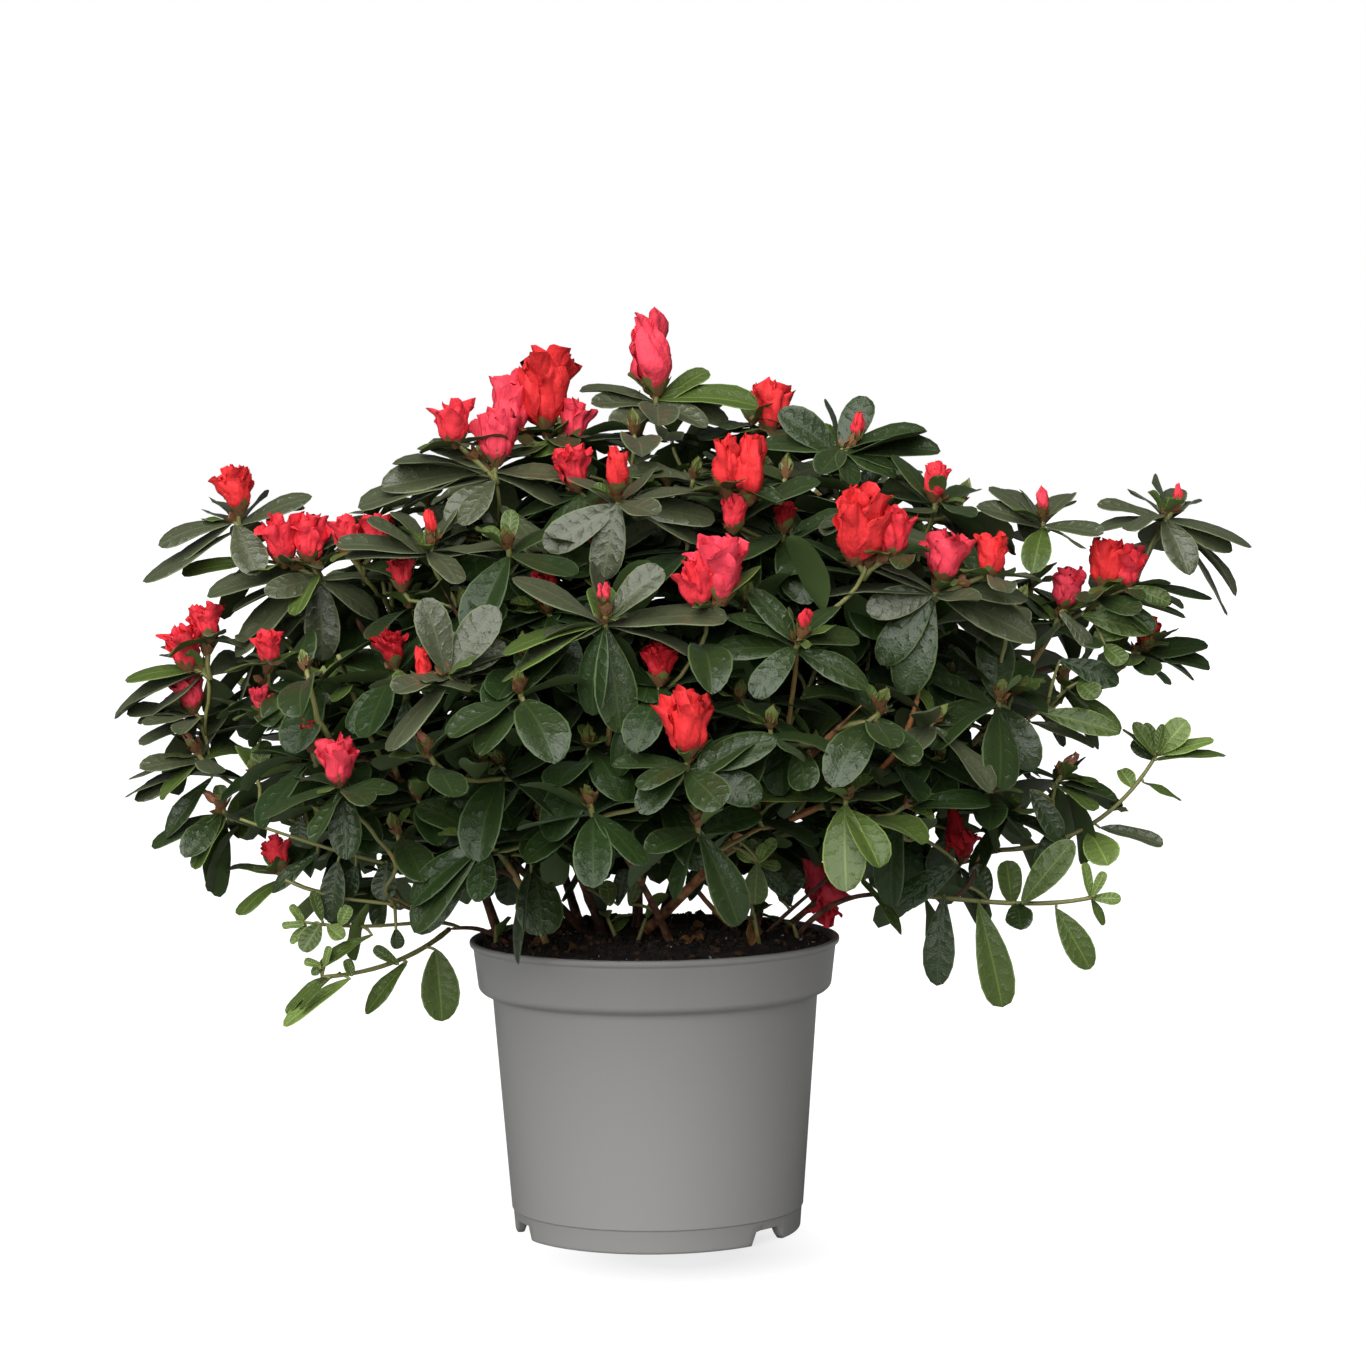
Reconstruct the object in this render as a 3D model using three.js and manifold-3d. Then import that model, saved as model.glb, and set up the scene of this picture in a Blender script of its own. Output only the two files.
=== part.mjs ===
// A potted azalea: a broad, low dome of evergreen foliage on several woody stems, in a grey nursery pot.
// Millimetres, +Z up. The origin is the centre of the pot's underside, and -Y is the front.
import * as THREE from "three";
import { mergeVertices } from "three/addons/utils/BufferGeometryUtils.js";
import Module from "manifold-3d";

const wasm = await Module();
wasm.setup();

const GAP = 0.3; // air between neighbouring solids
const DEGREE = Math.PI / 180;

// ---------------------------------------------------------------- driving dimensions

const POT = {
  height: 119,
  lipRadius: 75,
  lipHeight: 3,
  lipWidth: 2.4,
  lipRounding: 0.5,
  collarTopRadius: 73.6,
  collarBottomRadius: 71.4,
  collarBottom: 98.6,
  bodyTopRadius: 65.8,
  bodyTop: 94.8,
  bodyBottomRadius: 59.2,
  stepHeight: 10, // the step where the inset foot begins
  stepInset: 0.6,
  footRadius: 58,
  footWidth: 3.4,
  footChamfer: 0.8,
  channelHeight: 6.5, // the drainage channel between the foot and the flat middle of the base
  padRadius: 34,
  wall: 1.2,
  segments: 28,
};

const NOTCH = { azimuths: [50, 170, 290], width: 15, height: 6.5, depth: 8 };
const DRAIN = { count: 6, radius: 3.2, ring: 45, sides: 8 };

const SOIL = { edge: 115.8, crest: 121.5, unevenness: 1.6 };

// Azimuths run from the front (0) to the plant's right-hand side as seen from the front (90).
// reach is from the pot's axis to a mass's middle; size is its half sizes, outwards, sideways and up.
// The sides of a tier reach further than its front and back, by its side factor, and its
// front and back ride higher than its sides, by its lift.
const TIERS = [
  { name: "crown", count: 4, phase: 40, side: 1, lift: 0, reach: 55, height: 301, size: [56, 62, 37] },
  { name: "shoulder", count: 7, phase: 16, side: 1.1, lift: 0, reach: 121, height: 264, size: [58, 68, 44] },
  { name: "flank", count: 8, phase: 346, side: 1.08, lift: 4, reach: 143, height: 210, size: [56, 70, 46] },
  { name: "skirt", count: 7, phase: 26, side: 1.2, lift: 22, reach: 122, height: 161, size: [54, 66, 34] },
];

// The shoots that stand out of the tiers and break the outline: middles and half sizes, across, back and up.
const SHOOTS = [
  { name: "top", at: [-1, -8, 341], size: [29, 29, 36] },
  { name: "top_left", at: [-53, -22, 333], size: [33, 33, 29] },
  { name: "top_right", at: [78, 6, 316], size: [36, 34, 26] },
  { name: "shoot_upper_left", at: [-170, -10, 284], size: [34, 30, 25] },
  { name: "shoot_left", at: [-192, -24, 213], size: [27, 34, 36] },
  { name: "shoot_lower_left", at: [-114, -22, 107], size: [36, 21, 22] },
  { name: "shoot_upper_right", at: [208, 10, 277], size: [35, 31, 28] },
  { name: "shoot_outer_right", at: [192, -14, 241], size: [35, 34, 27] },
  { name: "shoot_right", at: [203, -8, 192], size: [26, 18, 20] },
  { name: "shoot_lower_right", at: [144, -30, 120], size: [38, 24, 29] },
];

// A mass is an ellipsoid, drawn in to its slack and pushed out in knobs where its shoots end.
const KNOBS = { count: 7, least: 0.12, spread: 0.16, sharpness: 9, slack: 0.82 };

// Each bough runs from its foot in the soil (foot: across, back) to the mass that it enters.
// girth is its radius above the root flare; rise is how far it climbs before it bends outwards.
const BOUGHS = [
  { name: "bough_leaning_right", foot: [-9, -4], into: "flank_1", girth: 3.6, rise: 22 },
  { name: "bough_middle", foot: [-7, 10], into: "top", girth: 3.2, rise: 70 },
  { name: "bough_front_left", foot: [-19, -12], into: "shoulder_6", girth: 2.7, rise: 50 },
  { name: "bough_left", foot: [-25, 3], into: "flank_7", girth: 2.8, rise: 34 },
  { name: "bough_left_edge", foot: [-62, 6], into: "shoulder_5", girth: 3.0, rise: 60 },
  { name: "bough_back_left", foot: [-30, 24], into: "shoulder_4", girth: 3.0, rise: 50 },
  { name: "bough_right", foot: [39, -5], into: "top_right", girth: 4.0, rise: 60 },
  { name: "bough_front_right", foot: [31, 3], into: "crown_0", girth: 2.6, rise: 50 },
  { name: "bough_right_edge", foot: [47, 5], into: "flank_2", girth: 2.2, rise: 24 },
  { name: "bough_back_right", foot: [31, 26], into: "shoulder_3", girth: 3.0, rise: 50 },
  { name: "bough_back", foot: [2, 36], into: "flank_4", girth: 3.0, rise: 40 },
  { name: "bough_front", foot: [8, -28], into: "flank_0", girth: 2.5, rise: 36 },
  { name: "bough_low_left", foot: [-57, -9], into: "shoot_lower_left", girth: 2.0, rise: 16 },
  { name: "bough_low_right", foot: [55, -8], into: "shoot_lower_right", girth: 2.2, rise: 34 },
];
const FRAME_STEPS = 60;
const BOUGH = { tipGirth: 0.55, flare: 0.3, flareReach: 0.06, rings: 6, sides: 5, buried: 4 };

// ---------------------------------------------------------------- materials

const finish = (color, roughness) => new THREE.MeshStandardMaterial({ color, roughness, metalness: 0 });
const MATERIALS = {
  pot: finish(0x858480, 0.5),
  soil: finish(0x1c140d, 0.95),
  bark: finish(0x6b4a2e, 0.8),
  foliage: finish(0x2c4524, 0.6),
};

// ---------------------------------------------------------------- helpers

// Repeatable random numbers from 0 to 1.
function randomFrom(seed) {
  let state = seed >>> 0;
  return () => {
    state = (state + 0x6d2b79f5) >>> 0;
    let t = Math.imul(state ^ (state >>> 15), 1 | state);
    t = (t + Math.imul(t ^ (t >>> 7), 61 | t)) ^ t;
    return ((t ^ (t >>> 14)) >>> 0) / 4294967296;
  };
}

function solidOf(geometry) {
  const bare = geometry.clone();
  bare.deleteAttribute("normal");
  bare.deleteAttribute("uv");
  const merged = mergeVertices(bare, 1e-3);
  return new wasm.Manifold(
    new wasm.Mesh({
      numProp: 3,
      vertProperties: merged.attributes.position.array,
      triVerts: new Uint32Array(merged.index.array),
    }),
  );
}

function geometryOf(solid) {
  const mesh = solid.getMesh();
  const positions = new THREE.BufferAttribute(new Float32Array(mesh.vertProperties), 3);
  const geometry = new THREE.BufferGeometry().setAttribute("position", positions);
  geometry.setIndex(new THREE.BufferAttribute(new Uint32Array(mesh.triVerts), 1));
  geometry.computeVertexNormals();
  return geometry;
}

function meshOf(name, solid, material) {
  const mesh = new THREE.Mesh(geometryOf(solid), material);
  mesh.name = name;
  return mesh;
}

// A profile of [radius, height] points, turned round the Z axis.
function turned(profile) {
  const points = profile.map(([radius, height]) => new THREE.Vector2(radius, height));
  return new THREE.LatheGeometry(points, POT.segments).rotateX(Math.PI / 2);
}

// A horizontal unit vector at an azimuth in degrees.
function heading(azimuth) {
  return new THREE.Vector3(Math.sin(azimuth * DEGREE), -Math.cos(azimuth * DEGREE), 0);
}

// ---------------------------------------------------------------- pot and soil

// The radius of the inside of the pot's tapering body, at a height.
function innerRadius(height) {
  const share = (height - POT.stepHeight) / (POT.bodyTop - POT.stepHeight);
  return THREE.MathUtils.lerp(POT.bodyBottomRadius, POT.bodyTopRadius, share) - POT.wall;
}

function potSolid() {
  const p = POT;
  const floor = p.channelHeight + p.wall;
  const footInside = p.footRadius - p.footWidth;
  const lipBottom = p.height - p.lipHeight;
  const outside = [
    [0, 0],
    [p.padRadius, 0],
    [p.padRadius + 1.5, p.channelHeight],
    [footInside - 1, p.channelHeight],
    [footInside, 0],
    [p.footRadius - p.footChamfer, 0],
    [p.footRadius, p.footChamfer],
    [p.bodyBottomRadius - p.stepInset, p.stepHeight - 0.4],
    [p.bodyBottomRadius, p.stepHeight],
    [p.bodyTopRadius, p.bodyTop],
    [p.collarBottomRadius - 1.4, p.collarBottom - 2.2],
    [p.collarBottomRadius, p.collarBottom],
    [p.collarTopRadius, lipBottom - 0.5],
    [p.lipRadius, lipBottom],
    [p.lipRadius, p.height - p.lipRounding],
    [p.lipRadius - p.lipRounding, p.height],
  ];
  const inside = [
    [p.lipRadius - p.lipWidth, p.height],
    [p.collarTopRadius - p.wall, lipBottom],
    [p.collarBottomRadius - p.wall, p.collarBottom + p.wall],
    [innerRadius(p.bodyTop + p.wall), p.bodyTop + p.wall],
    [innerRadius(floor + 1), floor + 1],
    [innerRadius(floor) - 1, floor],
    [p.padRadius + 1, floor],
    [p.padRadius - 0.5, p.wall],
    [0, p.wall],
  ];
  let pot = solidOf(turned([...outside, ...inside]));
  for (const azimuth of NOTCH.azimuths) {
    const out = heading(azimuth).multiplyScalar(p.footRadius);
    const notch = new THREE.BoxGeometry(NOTCH.depth, NOTCH.width, 2 * NOTCH.height);
    notch.rotateZ((azimuth - 90) * DEGREE).translate(out.x, out.y, 0);
    pot = pot.subtract(solidOf(notch));
  }
  for (let i = 0; i < DRAIN.count; i += 1) {
    const at = heading(((i + 0.5) * 360) / DRAIN.count).multiplyScalar(DRAIN.ring);
    const hole = new THREE.CylinderGeometry(DRAIN.radius, DRAIN.radius, 4 * p.wall, DRAIN.sides);
    pot = pot.subtract(solidOf(hole.rotateX(Math.PI / 2).translate(at.x, at.y, floor)));
  }
  return pot;
}

// The height of the soil's mounded surface.
function soilHeight(x, y) {
  const share = Math.min(1, Math.hypot(x, y) / (POT.lipRadius - POT.lipWidth));
  const mound = SOIL.edge + (SOIL.crest - SOIL.edge) * (1 - share ** 4);
  const clods = Math.sin(x / 9 + 1) * Math.cos(y / 8) + 0.6 * Math.sin((x + y) / 5);
  return mound + SOIL.unevenness * clods * (1 - share ** 6);
}

function soilSolid() {
  const p = POT;
  const floor = p.channelHeight + p.wall + GAP;
  const edge = p.collarTopRadius - p.wall - 2 * GAP;
  const profile = [
    [0, p.wall + GAP],
    [p.padRadius - 1.2, p.wall + GAP],
    [p.padRadius + 0.5, floor],
    [innerRadius(floor) - 1.6, floor],
    [innerRadius(floor + 1.5) - GAP, floor + 1.5],
    [innerRadius(p.bodyTop) - 2 * GAP, p.bodyTop + p.wall + GAP],
    [p.collarBottomRadius - p.wall - 2 * GAP, p.collarBottom + p.wall + 2 * GAP],
    [edge, SOIL.edge],
    ...[0.86, 0.68, 0.48, 0.26, 0].map((share) => [edge * share, SOIL.edge + 1]),
  ];
  const geometry = turned(profile);
  const position = geometry.attributes.position;
  for (let i = 0; i < position.count; i += 1) {
    if (position.getZ(i) > SOIL.edge + 0.5) {
      position.setZ(i, soilHeight(position.getX(i), position.getY(i)));
    }
  }
  return solidOf(geometry);
}

// ---------------------------------------------------------------- foliage

// Every mass as its middle, its outward, sideways and upward axes, and its half sizes along them.
function plannedMasses() {
  const random = randomFrom(11);
  const jitter = (amount) => (random() * 2 - 1) * amount;
  const place = (name, azimuth, reach, height, sizes) => {
    const outward = heading(azimuth);
    const sideways = new THREE.Vector3(-outward.y, outward.x, 0);
    const middle = outward.clone().multiplyScalar(reach).setZ(height);
    const axes = [outward, sideways, new THREE.Vector3(0, 0, 1)];
    return { name, middle, axes, sizes, fine: true };
  };
  const square = [new THREE.Vector3(1, 0, 0), new THREE.Vector3(0, 1, 0), new THREE.Vector3(0, 0, 1)];
  const masses = SHOOTS.map(({ name, at, size }) => {
    return { name, middle: new THREE.Vector3(...at), axes: square, sizes: size, fine: false };
  });
  for (const tier of TIERS) {
    for (let i = 0; i < tier.count; i += 1) {
      const azimuth = tier.phase + (i * 360) / tier.count + jitter(5);
      const sideways = Math.abs(Math.sin(azimuth * DEGREE));
      const reach = tier.reach * THREE.MathUtils.lerp(1, tier.side, sideways) + jitter(7);
      const sizes = tier.size.map((size) => size * (1 + jitter(0.07)));
      const height = tier.height + tier.lift * (1 - sideways) + jitter(8);
      masses.push(place(`${tier.name}_${i}`, azimuth, reach, height, sizes));
    }
  }
  return masses;
}

// One closed, knobbly solid: an ellipsoid pushed out where its shoots end.
function massSolid({ middle, axes, sizes, fine }, seed) {
  const random = randomFrom(seed);
  const knobs = Array.from({ length: KNOBS.count }, () => {
    const direction = new THREE.Vector3(random() * 2 - 1, random() * 2 - 1, random() * 2 - 0.9).normalize();
    return { direction, size: KNOBS.least + KNOBS.spread * random() };
  });
  const geometry = fine ? new THREE.DodecahedronGeometry(1, 1) : new THREE.IcosahedronGeometry(1, 1);
  const frame = new THREE.Matrix4().makeBasis(...axes).setPosition(middle);
  const position = geometry.attributes.position;
  const point = new THREE.Vector3();
  for (let i = 0; i < position.count; i += 1) {
    point.fromBufferAttribute(position, i).normalize();
    let swell = KNOBS.slack;
    for (const knob of knobs) {
      swell += knob.size * Math.exp(KNOBS.sharpness * (point.dot(knob.direction) - 1));
    }
    point.multiplyScalar(swell).set(point.x * sizes[0], point.y * sizes[1], point.z * sizes[2]);
    position.setXYZ(i, ...point.applyMatrix4(frame));
  }
  return solidOf(geometry);
}

// How far a mass reaches from its middle along a direction.
function reachAlong(mass, direction) {
  return Math.hypot(...mass.axes.map((axis, k) => mass.sizes[k] * axis.dot(direction)));
}

// The half of space on the near side of a plane, as a large block.
function halfSpace(pointOnPlane, normal) {
  const size = 900;
  const block = new THREE.BoxGeometry(size, size, size);
  const turn = new THREE.Quaternion().setFromUnitVectors(new THREE.Vector3(0, 0, 1), normal);
  const middle = pointOnPlane.clone().addScaledVector(normal, -size / 2);
  return solidOf(block.applyQuaternion(turn).translate(middle.x, middle.y, middle.z));
}

// Masses that would touch or run into each other are parted by a flat gap between them.
function partedMasses(planned) {
  const solids = planned.map((mass, i) => massSolid(mass, 100 + i));
  const whole = [...solids];
  for (let i = 0; i < planned.length; i += 1) {
    for (let j = i + 1; j < planned.length; j += 1) {
      if (whole[i].minGap(whole[j], GAP) >= GAP) continue;
      const [a, b] = [planned[i], planned[j]];
      const across = b.middle.clone().sub(a.middle);
      const distance = across.length();
      const normal = across.normalize();
      const share = reachAlong(a, normal) / (reachAlong(a, normal) + reachAlong(b, normal));
      const meeting = a.middle.clone().addScaledVector(normal, distance * share);
      const nearSide = meeting.clone().addScaledVector(normal, -GAP / 2);
      const farSide = meeting.clone().addScaledVector(normal, GAP / 2);
      solids[i] = solids[i].intersect(halfSpace(nearSide, normal));
      solids[j] = solids[j].intersect(halfSpace(farSide, normal.clone().negate()));
    }
  }
  return solids;
}

// ---------------------------------------------------------------- boughs

// A tapering limb along a curve, flaring at its foot, with flat ends. Its rings lie closer together
// near the foot.
function limbGeometry(curve, footRadius, tipRadius) {
  const { rings, sides } = BOUGH;
  const frames = curve.computeFrenetFrames(FRAME_STEPS, false);
  const positions = [];
  const faces = [];
  for (let ring = 0; ring <= rings; ring += 1) {
    const share = (ring / rings) ** 1.5;
    const middle = curve.getPointAt(share);
    const station = Math.round(share * FRAME_STEPS);
    const flare = 1 + BOUGH.flare * Math.exp(-share / BOUGH.flareReach);
    const radius = THREE.MathUtils.lerp(footRadius, tipRadius, share) * flare;
    for (let side = 0; side < sides; side += 1) {
      const angle = (side / sides) * 2 * Math.PI;
      const point = middle
        .clone()
        .addScaledVector(frames.normals[station], radius * Math.cos(angle))
        .addScaledVector(frames.binormals[station], radius * Math.sin(angle));
      positions.push(point.x, point.y, point.z);
      if (ring === rings) continue;
      const [a, b] = [ring * sides + side, ring * sides + ((side + 1) % sides)];
      faces.push(a, b, b + sides, a, b + sides, a + sides);
    }
  }
  const top = rings * sides;
  for (let side = 1; side < sides - 1; side += 1) {
    faces.push(0, side + 1, side, top, top + side, top + side + 1);
  }
  const geometry = new THREE.BufferGeometry();
  geometry.setAttribute("position", new THREE.Float32BufferAttribute(positions, 3));
  return geometry.setIndex(faces);
}

// A bough climbs from the soil, bends outwards and heads for the middle of its mass.
function boughCurve(bough, target) {
  const [x, y] = bough.foot;
  const foot = new THREE.Vector3(x, y, soilHeight(x, y) - BOUGH.buried);
  const lean = target.clone().sub(foot).setZ(0).multiplyScalar(0.3);
  const elbow = foot.clone().add(lean).setZ(foot.z + BOUGH.buried + bough.rise);
  const before = elbow.clone().lerp(target, 0.55).setZ(THREE.MathUtils.lerp(elbow.z, target.z, 0.62));
  return new THREE.CubicBezierCurve3(foot, elbow, before, target);
}

// What is left of a bough below the soil-line cut and before the first mass that it meets.
function boughSolid(bough, planned, masses, soil) {
  const goal = planned.find((mass) => mass.name === bough.into);
  const curve = boughCurve(bough, goal.middle);
  let limb = solidOf(limbGeometry(curve, bough.girth, bough.girth * BOUGH.tipGirth));
  limb = limb.subtract(soil.translate([0, 0, GAP]));
  planned.forEach((mass, i) => {
    const grow = 1 + (1.5 * GAP) / Math.min(...mass.sizes);
    const { x, y, z } = mass.middle;
    const shell = masses[i].translate([-x, -y, -z]).scale(grow).translate([x, y, z]);
    limb = limb.subtract(shell);
  });
  const pieces = limb.decompose();
  const lowest = (piece) => piece.boundingBox().min[2];
  return pieces.reduce((best, piece) => (lowest(piece) < lowest(best) ? piece : best));
}

// ---------------------------------------------------------------- assembly

const plant = new THREE.Group();
const soil = soilSolid();
plant.add(meshOf("pot", potSolid(), MATERIALS.pot));
plant.add(meshOf("root_ball", soil, MATERIALS.soil));

const planned = plannedMasses();
const masses = partedMasses(planned);
planned.forEach((mass, i) => plant.add(meshOf(mass.name, masses[i], MATERIALS.foliage)));

for (const bough of BOUGHS) {
  plant.add(meshOf(bough.name, boughSolid(bough, planned, masses, soil), MATERIALS.bark));
}

export default plant;
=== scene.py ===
"""A potted azalea: its foliage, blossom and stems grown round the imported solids.

Lengths are in millimetres while shapes are worked out, and in metres once they are meshes.
"""
import math

import bpy
import numpy as np
from mathutils import Matrix, Vector, noise


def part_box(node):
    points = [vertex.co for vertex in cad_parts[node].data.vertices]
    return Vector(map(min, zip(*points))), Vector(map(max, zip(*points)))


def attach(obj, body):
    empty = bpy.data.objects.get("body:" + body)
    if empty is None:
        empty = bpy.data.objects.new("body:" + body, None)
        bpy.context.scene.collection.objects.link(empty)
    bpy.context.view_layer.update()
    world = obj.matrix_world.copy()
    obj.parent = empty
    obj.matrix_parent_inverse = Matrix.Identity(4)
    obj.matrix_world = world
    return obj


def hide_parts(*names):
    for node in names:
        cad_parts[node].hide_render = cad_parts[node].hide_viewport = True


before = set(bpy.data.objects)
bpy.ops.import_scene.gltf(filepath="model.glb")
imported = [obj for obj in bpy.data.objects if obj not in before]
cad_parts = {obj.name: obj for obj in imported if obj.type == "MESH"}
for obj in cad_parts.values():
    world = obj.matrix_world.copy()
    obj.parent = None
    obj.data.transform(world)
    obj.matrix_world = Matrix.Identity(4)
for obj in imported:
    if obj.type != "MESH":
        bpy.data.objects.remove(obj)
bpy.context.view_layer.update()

MM = 0.001
UP = np.array([0.0, 0.0, 1.0])
EAST = np.array([1.0, 0.0, 0.0])
GOLDEN = math.radians(137.5)
ANY_TURN = (0, 6.28)

# ------------------------------------------------------------------ sizes of the plant

POT_HEIGHT = 119.0
RIM_RADIUS = 75.0
SOIL_EDGE, SOIL_CREST, SOIL_UNEVENNESS = 115.8, 121.5, 1.6
SOIL_RADIUS, MOUND_RADIUS = 71.8, 72.6

# Shoots that fill the crown: how far out they end, how far apart, and how often a place is tried.
FILL_LAYERS = [(0.98, 33.0, 5200), (0.82, 33.0, 3000), (0.62, 32.0, 2400), (0.4, 34.0, 1200)]
OUTER_LAYER = 0.9  # the layers that end further out than this show

# The surface that the shoots' tips lie near: a round-shouldered dome.
DOME_MIDDLE = np.array([0.0, 2.0, 204.0])
DOME_RADIUS = (168.0, 152.0)
DOME_UP, DOME_DOWN = 124.0, 54.0
DOME_POWER = 2.15
# It leans over a little: how far to the right at some heights over its middle.
DOME_LEAN_AT, DOME_LEAN = (-50, 0, 30, 70, 120), (0, -10, -4, 14, 6)
# How far a line from the dome's middle may reach, and in how many steps.
DOME_REACH, DOME_STEPS = 260, 131

# Below the lowest leaves all is open: everywhere under a height, over the pot under another, and
# before the pot under a third.
OPEN_BELOW = 157
OPEN_OVER_POT_BELOW, OPEN_OVER_POT_RADIUS = 162, 108
OPEN_IN_FRONT_BELOW, OPEN_IN_FRONT_OF, OPEN_IN_FRONT_HALF = 176, -55, 92

LEAF_LENGTH = (29.0, 43.0)
LEAF_SLENDERNESS = 0.43
BRACT_LENGTH = (9.0, 17.0)
FEWEST_LEAVES = 3  # on a shoot that fills the crown: with fewer it isn't grown
LEAN_BEHIND = -40  # deep leaves further back than this have fewer faces

# ------------------------------------------------------------------ the camera

PICTURE = 1366  # the picture is square
FOCAL = 4280.0  # in picture points
SENSOR = 36.0
CAMERA_AT = np.array([12.85, -1724.4, 343.2])
CAMERA_PITCH, CAMERA_ROLL = math.radians(4.029), math.radians(-0.697)
SIGHT = np.array([0.0, -1.0, 0.13])  # roughly from the plant to the camera
MISSES_DOME_AT = -12.0  # mm behind the axis, for what shows beside the dome


def make_camera():
    data = bpy.data.cameras.new("camera")
    data.sensor_width = SENSOR
    data.lens = data.sensor_width * FOCAL / PICTURE
    data.clip_start, data.clip_end = 0.05, 50.0
    camera = bpy.data.objects.new("camera", data)
    bpy.context.scene.collection.objects.link(camera)
    turn = Matrix.Rotation(math.pi / 2 - CAMERA_PITCH, 4, "X") @ Matrix.Rotation(CAMERA_ROLL, 4, "Z")
    camera.matrix_world = Matrix.Translation(Vector(CAMERA_AT * MM)) @ turn
    bpy.context.scene.camera = camera


def sight_line(across, down):
    """The direction from the camera to a place in the picture, with a step of 1 mm backwards."""
    x, y = (across - PICTURE / 2) / FOCAL, (PICTURE / 2 - down) / FOCAL
    c, s = math.cos(CAMERA_ROLL), math.sin(CAMERA_ROLL)
    x, y = x * c - y * s, x * s + y * c
    c, s = math.cos(CAMERA_PITCH), math.sin(CAMERA_PITCH)
    line = np.array([x, c + y * s, y * c - s])
    return line / line[1]


def seen_at(across, down, back):
    """The point that shows at a place in the picture, a distance behind the plant's axis."""
    return CAMERA_AT + sight_line(across, down) * (back - CAMERA_AT[1])


def picture_place(point):
    """Where a point shows in the picture."""
    line = point - CAMERA_AT
    c, s = math.cos(CAMERA_PITCH), math.sin(CAMERA_PITCH)
    ahead = line[1] * c - line[2] * s
    x, y = line[0] / ahead, (line[1] * s + line[2] * c) / ahead
    c, s = math.cos(CAMERA_ROLL), math.sin(CAMERA_ROLL)
    return PICTURE / 2 + FOCAL * (x * c + y * s), PICTURE / 2 - FOCAL * (y * c - x * s)


def inside_dome(p, scale=1.0):
    x, y, rise = np.moveaxis(p - DOME_MIDDLE, -1, 0)
    x = x - np.interp(rise, DOME_LEAN_AT, DOME_LEAN)
    high = np.where(rise > 0, DOME_UP, DOME_DOWN)
    flat = np.hypot(x / DOME_RADIUS[0], y / DOME_RADIUS[1])
    return (flat / scale) ** DOME_POWER + np.abs(rise / high / scale) ** DOME_POWER <= 1


def seen_on_dome(across, down, sink=0.0):
    """The point of the dome's near side that shows at a place in the picture, or sunk behind it."""
    back = np.arange(-DOME_RADIUS[1], 0, 2.0)
    points = CAMERA_AT + sight_line(across, down) * (back - CAMERA_AT[1])[:, None]
    hit = np.nonzero(inside_dome(points))[0]
    start = back[hit[0]] if len(hit) else MISSES_DOME_AT
    return seen_at(across, down, start + sink)


# ------------------------------------------------------------------ where the shoots are

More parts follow.
